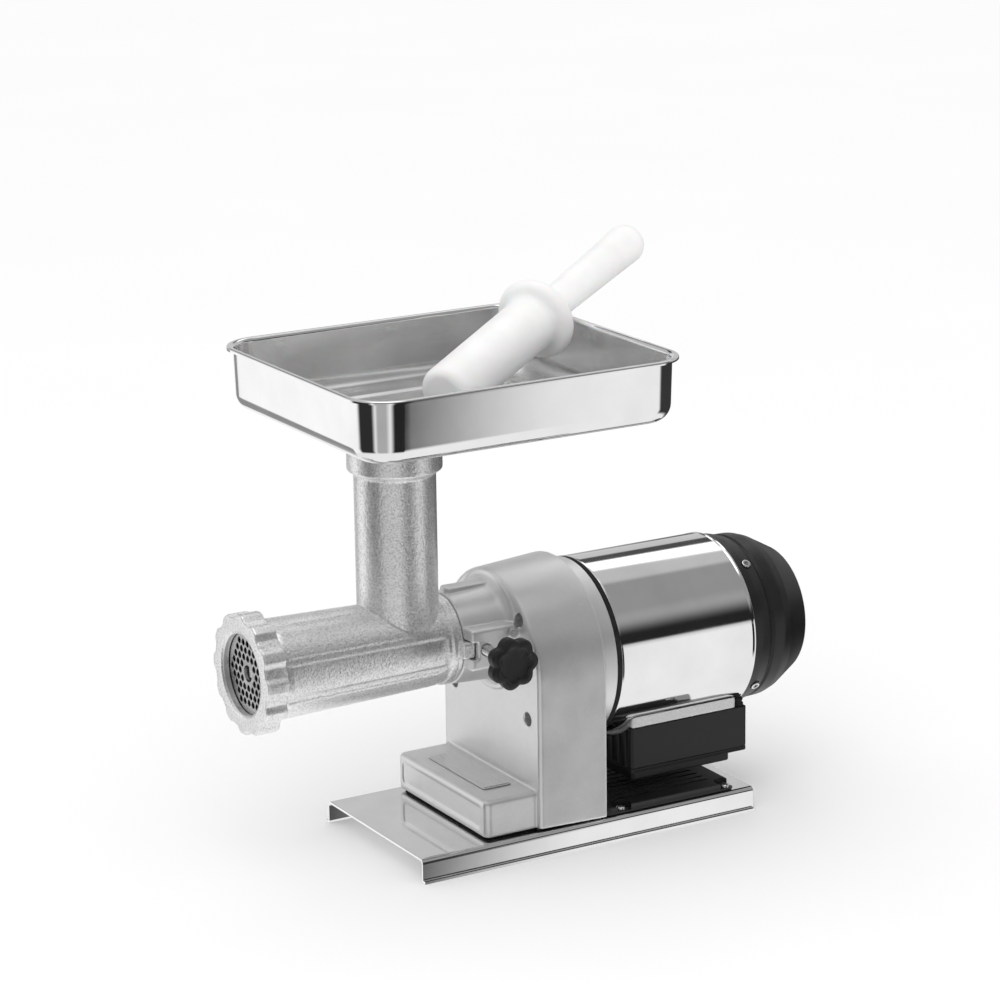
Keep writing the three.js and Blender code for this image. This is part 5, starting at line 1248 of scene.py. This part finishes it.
def pusher():
    """A turned stamper with a guard disc, leaning with its handle on the tray's rear rim."""
    body, guard, handle, end = 21.3, 32.5, 13, 16  # radii
    length, disc = 290, 129.6  # along the axis
    disc_end = disc + 20
    rest_gap = 2.7
    profile = rounded(
        [(0, 0), (0, body), (disc - 1, body + 0.6), (disc + 2, guard - 1.5), (disc + 9, guard + 0.5),
         (disc + 15, guard - 4), (disc_end + 2, handle + 1.2), (disc_end + 10, handle),
         (length - 30, end - 0.6), (length - 10, end), (length, end - 4), (length, 0)],
        [0, 7, 5, 6, 7, 10, 8, 20, 60, 10, 8, 0], 10, closed=False)
    stick = revolve("meat_pusher", profile, "X", (0, 0, 0), 144)
    yaw = math.radians(27.9)
    tip_x, tip_y, tip_gap = NECK_X + 30.1, -23, 2.1
    run = (span("tray", 0)[1] - tip_x) / math.cos(yaw)
    rise = span("tray", 2)[1] + handle + rest_gap - (TRAY_BOTTOM + 1.5 + body)
    pitch = math.atan2(rise, run)
    stick.data.transform(Matrix.Rotation(-pitch, 4, "Y"))
    stick.data.transform(Matrix.Rotation(yaw, 4, "Z"))
    lift = body * math.cos(pitch) + tip_gap
    stick.data.transform(Matrix.Translation((tip_x * MM, tip_y * MM, (TRAY_BOTTOM + lift) * MM)))
    return put(stick, "pusher", "white_plastic", "pusher")


# ---------------------------------------------------------------- pieces that stay as the frame has them
CARRIED = {
    "zinc_screw": ["gearcase_bolt_1", "gearcase_bolt_2"],
    "machined_steel": ["output_shaft", "output_gear", "front_bearing", "rear_bearing", "countershaft",
                       "intermediate_gear", "stator_core", "rotor", "motor_shaft", "motor_front_bearing",
                       "motor_rear_bearing", "plate_key_pin"],
    "copper": ["front_winding", "rear_winding"],
    "cast_aluminium": ["rear_shield"],
    "black_plastic": ["cooling_fan"],
    "white_plastic": ["capacitor"],
    "black_rubber": ["shaft_seal"],
    "bronze": ["thrust_washer"],
}


def carried_nodes():
    """The inner pieces keep their CAD meshes, with welded and slightly rounded edges."""
    for node, slot in [(node, slot) for slot, nodes in CARRIED.items() for node in nodes]:
        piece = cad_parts[node]
        piece.data.materials.clear()
        piece.data.materials.append(FINISH[slot])
        weld = piece.modifiers.new("weld", "WELD")
        weld.merge_threshold = 1e-5
        bevel = piece.modifiers.new("edges", "BEVEL")
        bevel.width = 0.15 * MM
        bevel.segments = 2
        bevel.limit_method = "ANGLE"
        bevel.angle_limit = math.radians(40)


# ---------------------------------------------------------------- stage
def ground():
    """A plain pale floor."""
    mesh = bpy.data.meshes.new("floor")
    size = 12
    corners = [(x, y, 0) for x, y in rectangle(-size, size, -size, size)]
    mesh.from_pydata(corners, [], [(0, 1, 2, 3)])
    floor = bpy.data.objects.new("floor", mesh)
    bpy.context.scene.collection.objects.link(floor)
    surface = Surface("floor_paper", 0.0, Specular_IOR_Level=0.0)
    surface.colour(surface.ramp(surface.grain(400, 2), (0.3, 0.965), (0.7, 0.975)))
    surface.shader.inputs["Roughness"].default_value = 1.0
    mesh.materials.append(surface.material)
    floor.visible_glossy = False


# Light panels round the object: (from, to) in degrees from -Y towards -X, (from, to) in degrees above the
# floor, how soft the edges are (one number, or from, to, low, high), and the brightness.
# A later panel lies over the earlier ones.
PANELS = [
    ((-200, 200), (-90, 7), 3, 0.95),
    ((-200, 200), (68, 95), 6, 2.0),
    ((-100, 60), (36, 68), 8, 0.32),
    ((-75, 60), (9, 30), (3, 3, 1.2, 12), 0.02),
    ((-150, -95), (45, 62), 6, 0.57),
    ((-165, -120), (36, 50), 1.5, 1.5),
    ((-200, -135), (24, 36), 2, 0.08),
    ((-200, -128), (9, 24), (3, 3, 2, 2), 0.60),
    ((123, 154.8), (-30, 20), (5, 1.2, 6, 6), 1.1),
    ((155.5, 200), (-30, 9), (1.2, 3, 6, 3), 0.30),
    ((66, 116), (-30, 20), (7, 7, 6, 6), 0.03),
    ((24, 58), (-30, 9), (8, 5, 6, 3), 0.46),
    ((-28.2, 12), (-30, 9), (3, 8, 6, 3), 0.02),
    ((-150, -55), (-30, 5), (6, 6, 6, 3), 0.04),
]


BASE_GLOW = 0.55  # the dome's brightness where no panel lies


def light_dome():
    """A sphere that only reflections see: soft panels and dark gaps, for the bands on polished steel."""
    work = bmesh.new()
    bmesh.ops.create_uvsphere(work, u_segments=48, v_segments=24, radius=5)
    mesh = bpy.data.meshes.new("light_dome")
    work.to_mesh(mesh)
    work.free()
    dome = bpy.data.objects.new("light_dome", mesh)
    bpy.context.scene.collection.objects.link(dome)
    material = bpy.data.materials.new("light_dome")
    material.use_nodes = True
    material.cycles.emission_sampling = "NONE"
    tree = material.node_tree
    tree.nodes.clear()

    def node(kind, *values, **settings):
        made = tree.nodes.new(kind)
        for key, value in settings.items():
            setattr(made, key, value)
        for i, value in enumerate(values):
            if isinstance(value, (int, float)):
                made.inputs[i].default_value = value
            elif value is not None:
                tree.links.new(value, made.inputs[i])
        return made.outputs[0]

    def maths(operation, *values):
        return node("ShaderNodeMath", *values, operation=operation)

    def step(value, low, high):
        return node("ShaderNodeMapRange", value, low, high, 0.0, 1.0, interpolation_type="SMOOTHSTEP")

    place = tree.nodes.new("ShaderNodeTexCoord").outputs["Object"]
    unit = tree.nodes.new("ShaderNodeVectorMath")
    unit.operation = "NORMALIZE"
    tree.links.new(place, unit.inputs[0])
    split = tree.nodes.new("ShaderNodeSeparateXYZ")
    tree.links.new(unit.outputs[0], split.inputs[0])
    x, y, z = split.outputs
    degree = 180 / math.pi
    bearing = maths("ARCTAN2", maths("MULTIPLY", x, -1.0), maths("MULTIPLY", y, -1.0))
    around = maths("MULTIPLY", bearing, degree)
    above = maths("MULTIPLY", maths("ARCSINE", z), degree)
    level = maths("ADD", BASE_GLOW, 0.0)
    for (a0, a1), (e0, e1), soft, value in PANELS:
        s0, s1, s2, s3 = soft if isinstance(soft, tuple) else (soft, soft, soft, soft)
        masks = [step(around, a0 - s0, a0 + s0), maths("SUBTRACT", 1.0, step(around, a1 - s1, a1 + s1)),
                 step(above, e0 - s2, e0 + s2), maths("SUBTRACT", 1.0, step(above, e1 - s3, e1 + s3))]
        mask = masks[0]
        for other in masks[1:]:
            mask = maths("MULTIPLY", mask, other)
        kept = maths("MULTIPLY", level, maths("SUBTRACT", 1.0, mask))
        level = maths("ADD", kept, maths("MULTIPLY", mask, value))
    glow = tree.nodes.new("ShaderNodeEmission")
    tree.links.new(level, glow.inputs["Strength"])
    output = tree.nodes.new("ShaderNodeOutputMaterial")
    tree.links.new(glow.outputs[0], output.inputs["Surface"])
    mesh.materials.append(material)
    for flag in ("visible_camera", "visible_diffuse", "visible_transmission", "visible_volume_scatter",
                 "visible_shadow"):
        setattr(dome, flag, False)


def soft_light(name, place, target, size, power):
    lamp = bpy.data.lights.new(name, "AREA")
    lamp.shape = "DISK"
    lamp.size = size
    lamp.energy = power
    holder = bpy.data.objects.new(name, lamp)
    bpy.context.scene.collection.objects.link(holder)
    holder.location = place
    holder.rotation_euler = (Vector(target) - Vector(place)).to_track_quat("-Z", "Y").to_euler()
    holder.visible_glossy = False
    return holder


CAMERA_LENS = 125.56
CAMERA_PLACE = (-1.29807, -2.22017, 0.96142)  # metres
CAMERA_TURN = (-30.063, 15.237, -0.816)  # azimuth from -Y, elevation and roll, in degrees
BACKGROUND_STRENGTH = 1.0


def stage():
    ground()
    light_dome()
    world = bpy.data.worlds.new("studio")
    bpy.context.scene.world = world
    world.use_nodes = True
    background = world.node_tree.nodes["Background"]
    background.inputs[0].default_value = (1, 1, 1, 1)
    background.inputs[1].default_value = BACKGROUND_STRENGTH
    soft_light("key", (-0.9, -0.9, 1.8), (0, 0, 0.2), 1.6, 6)
    camera = bpy.data.objects.new("camera", bpy.data.cameras.new("camera"))
    bpy.context.scene.collection.objects.link(camera)
    camera.data.lens = CAMERA_LENS
    camera.data.sensor_width = 36
    camera.data.clip_end = 30
    place = Vector(CAMERA_PLACE)
    azimuth, elevation, roll = (math.radians(a) for a in CAMERA_TURN)
    back = Vector((math.sin(azimuth) * math.cos(elevation), -math.cos(azimuth) * math.cos(elevation),
                   math.sin(elevation)))
    right = Vector((math.cos(azimuth), math.sin(azimuth), 0))
    up = back.cross(right)
    turned_right = right * math.cos(roll) + up * math.sin(roll)
    turned_up = up * math.cos(roll) - right * math.sin(roll)
    camera.matrix_world = Matrix((
        (turned_right.x, turned_up.x, back.x, place.x),
        (turned_right.y, turned_up.y, back.y, place.y),
        (turned_right.z, turned_up.z, back.z, place.z),
        (0, 0, 0, 1)))
    bpy.context.scene.camera = camera
    bpy.context.scene.view_settings.view_transform = "Standard"


base_plate()
base_cover()
base_fixings()
gearcase()
nameplate()
case_screws()
motor_shell()
terminal_pad()
fan_cover()
cap_screws()
switch_box()
head_casting()
ring_nut()
hole_plate()
auger()
knife()
clamp()
tray()
pusher()
carried_nodes()
stage()
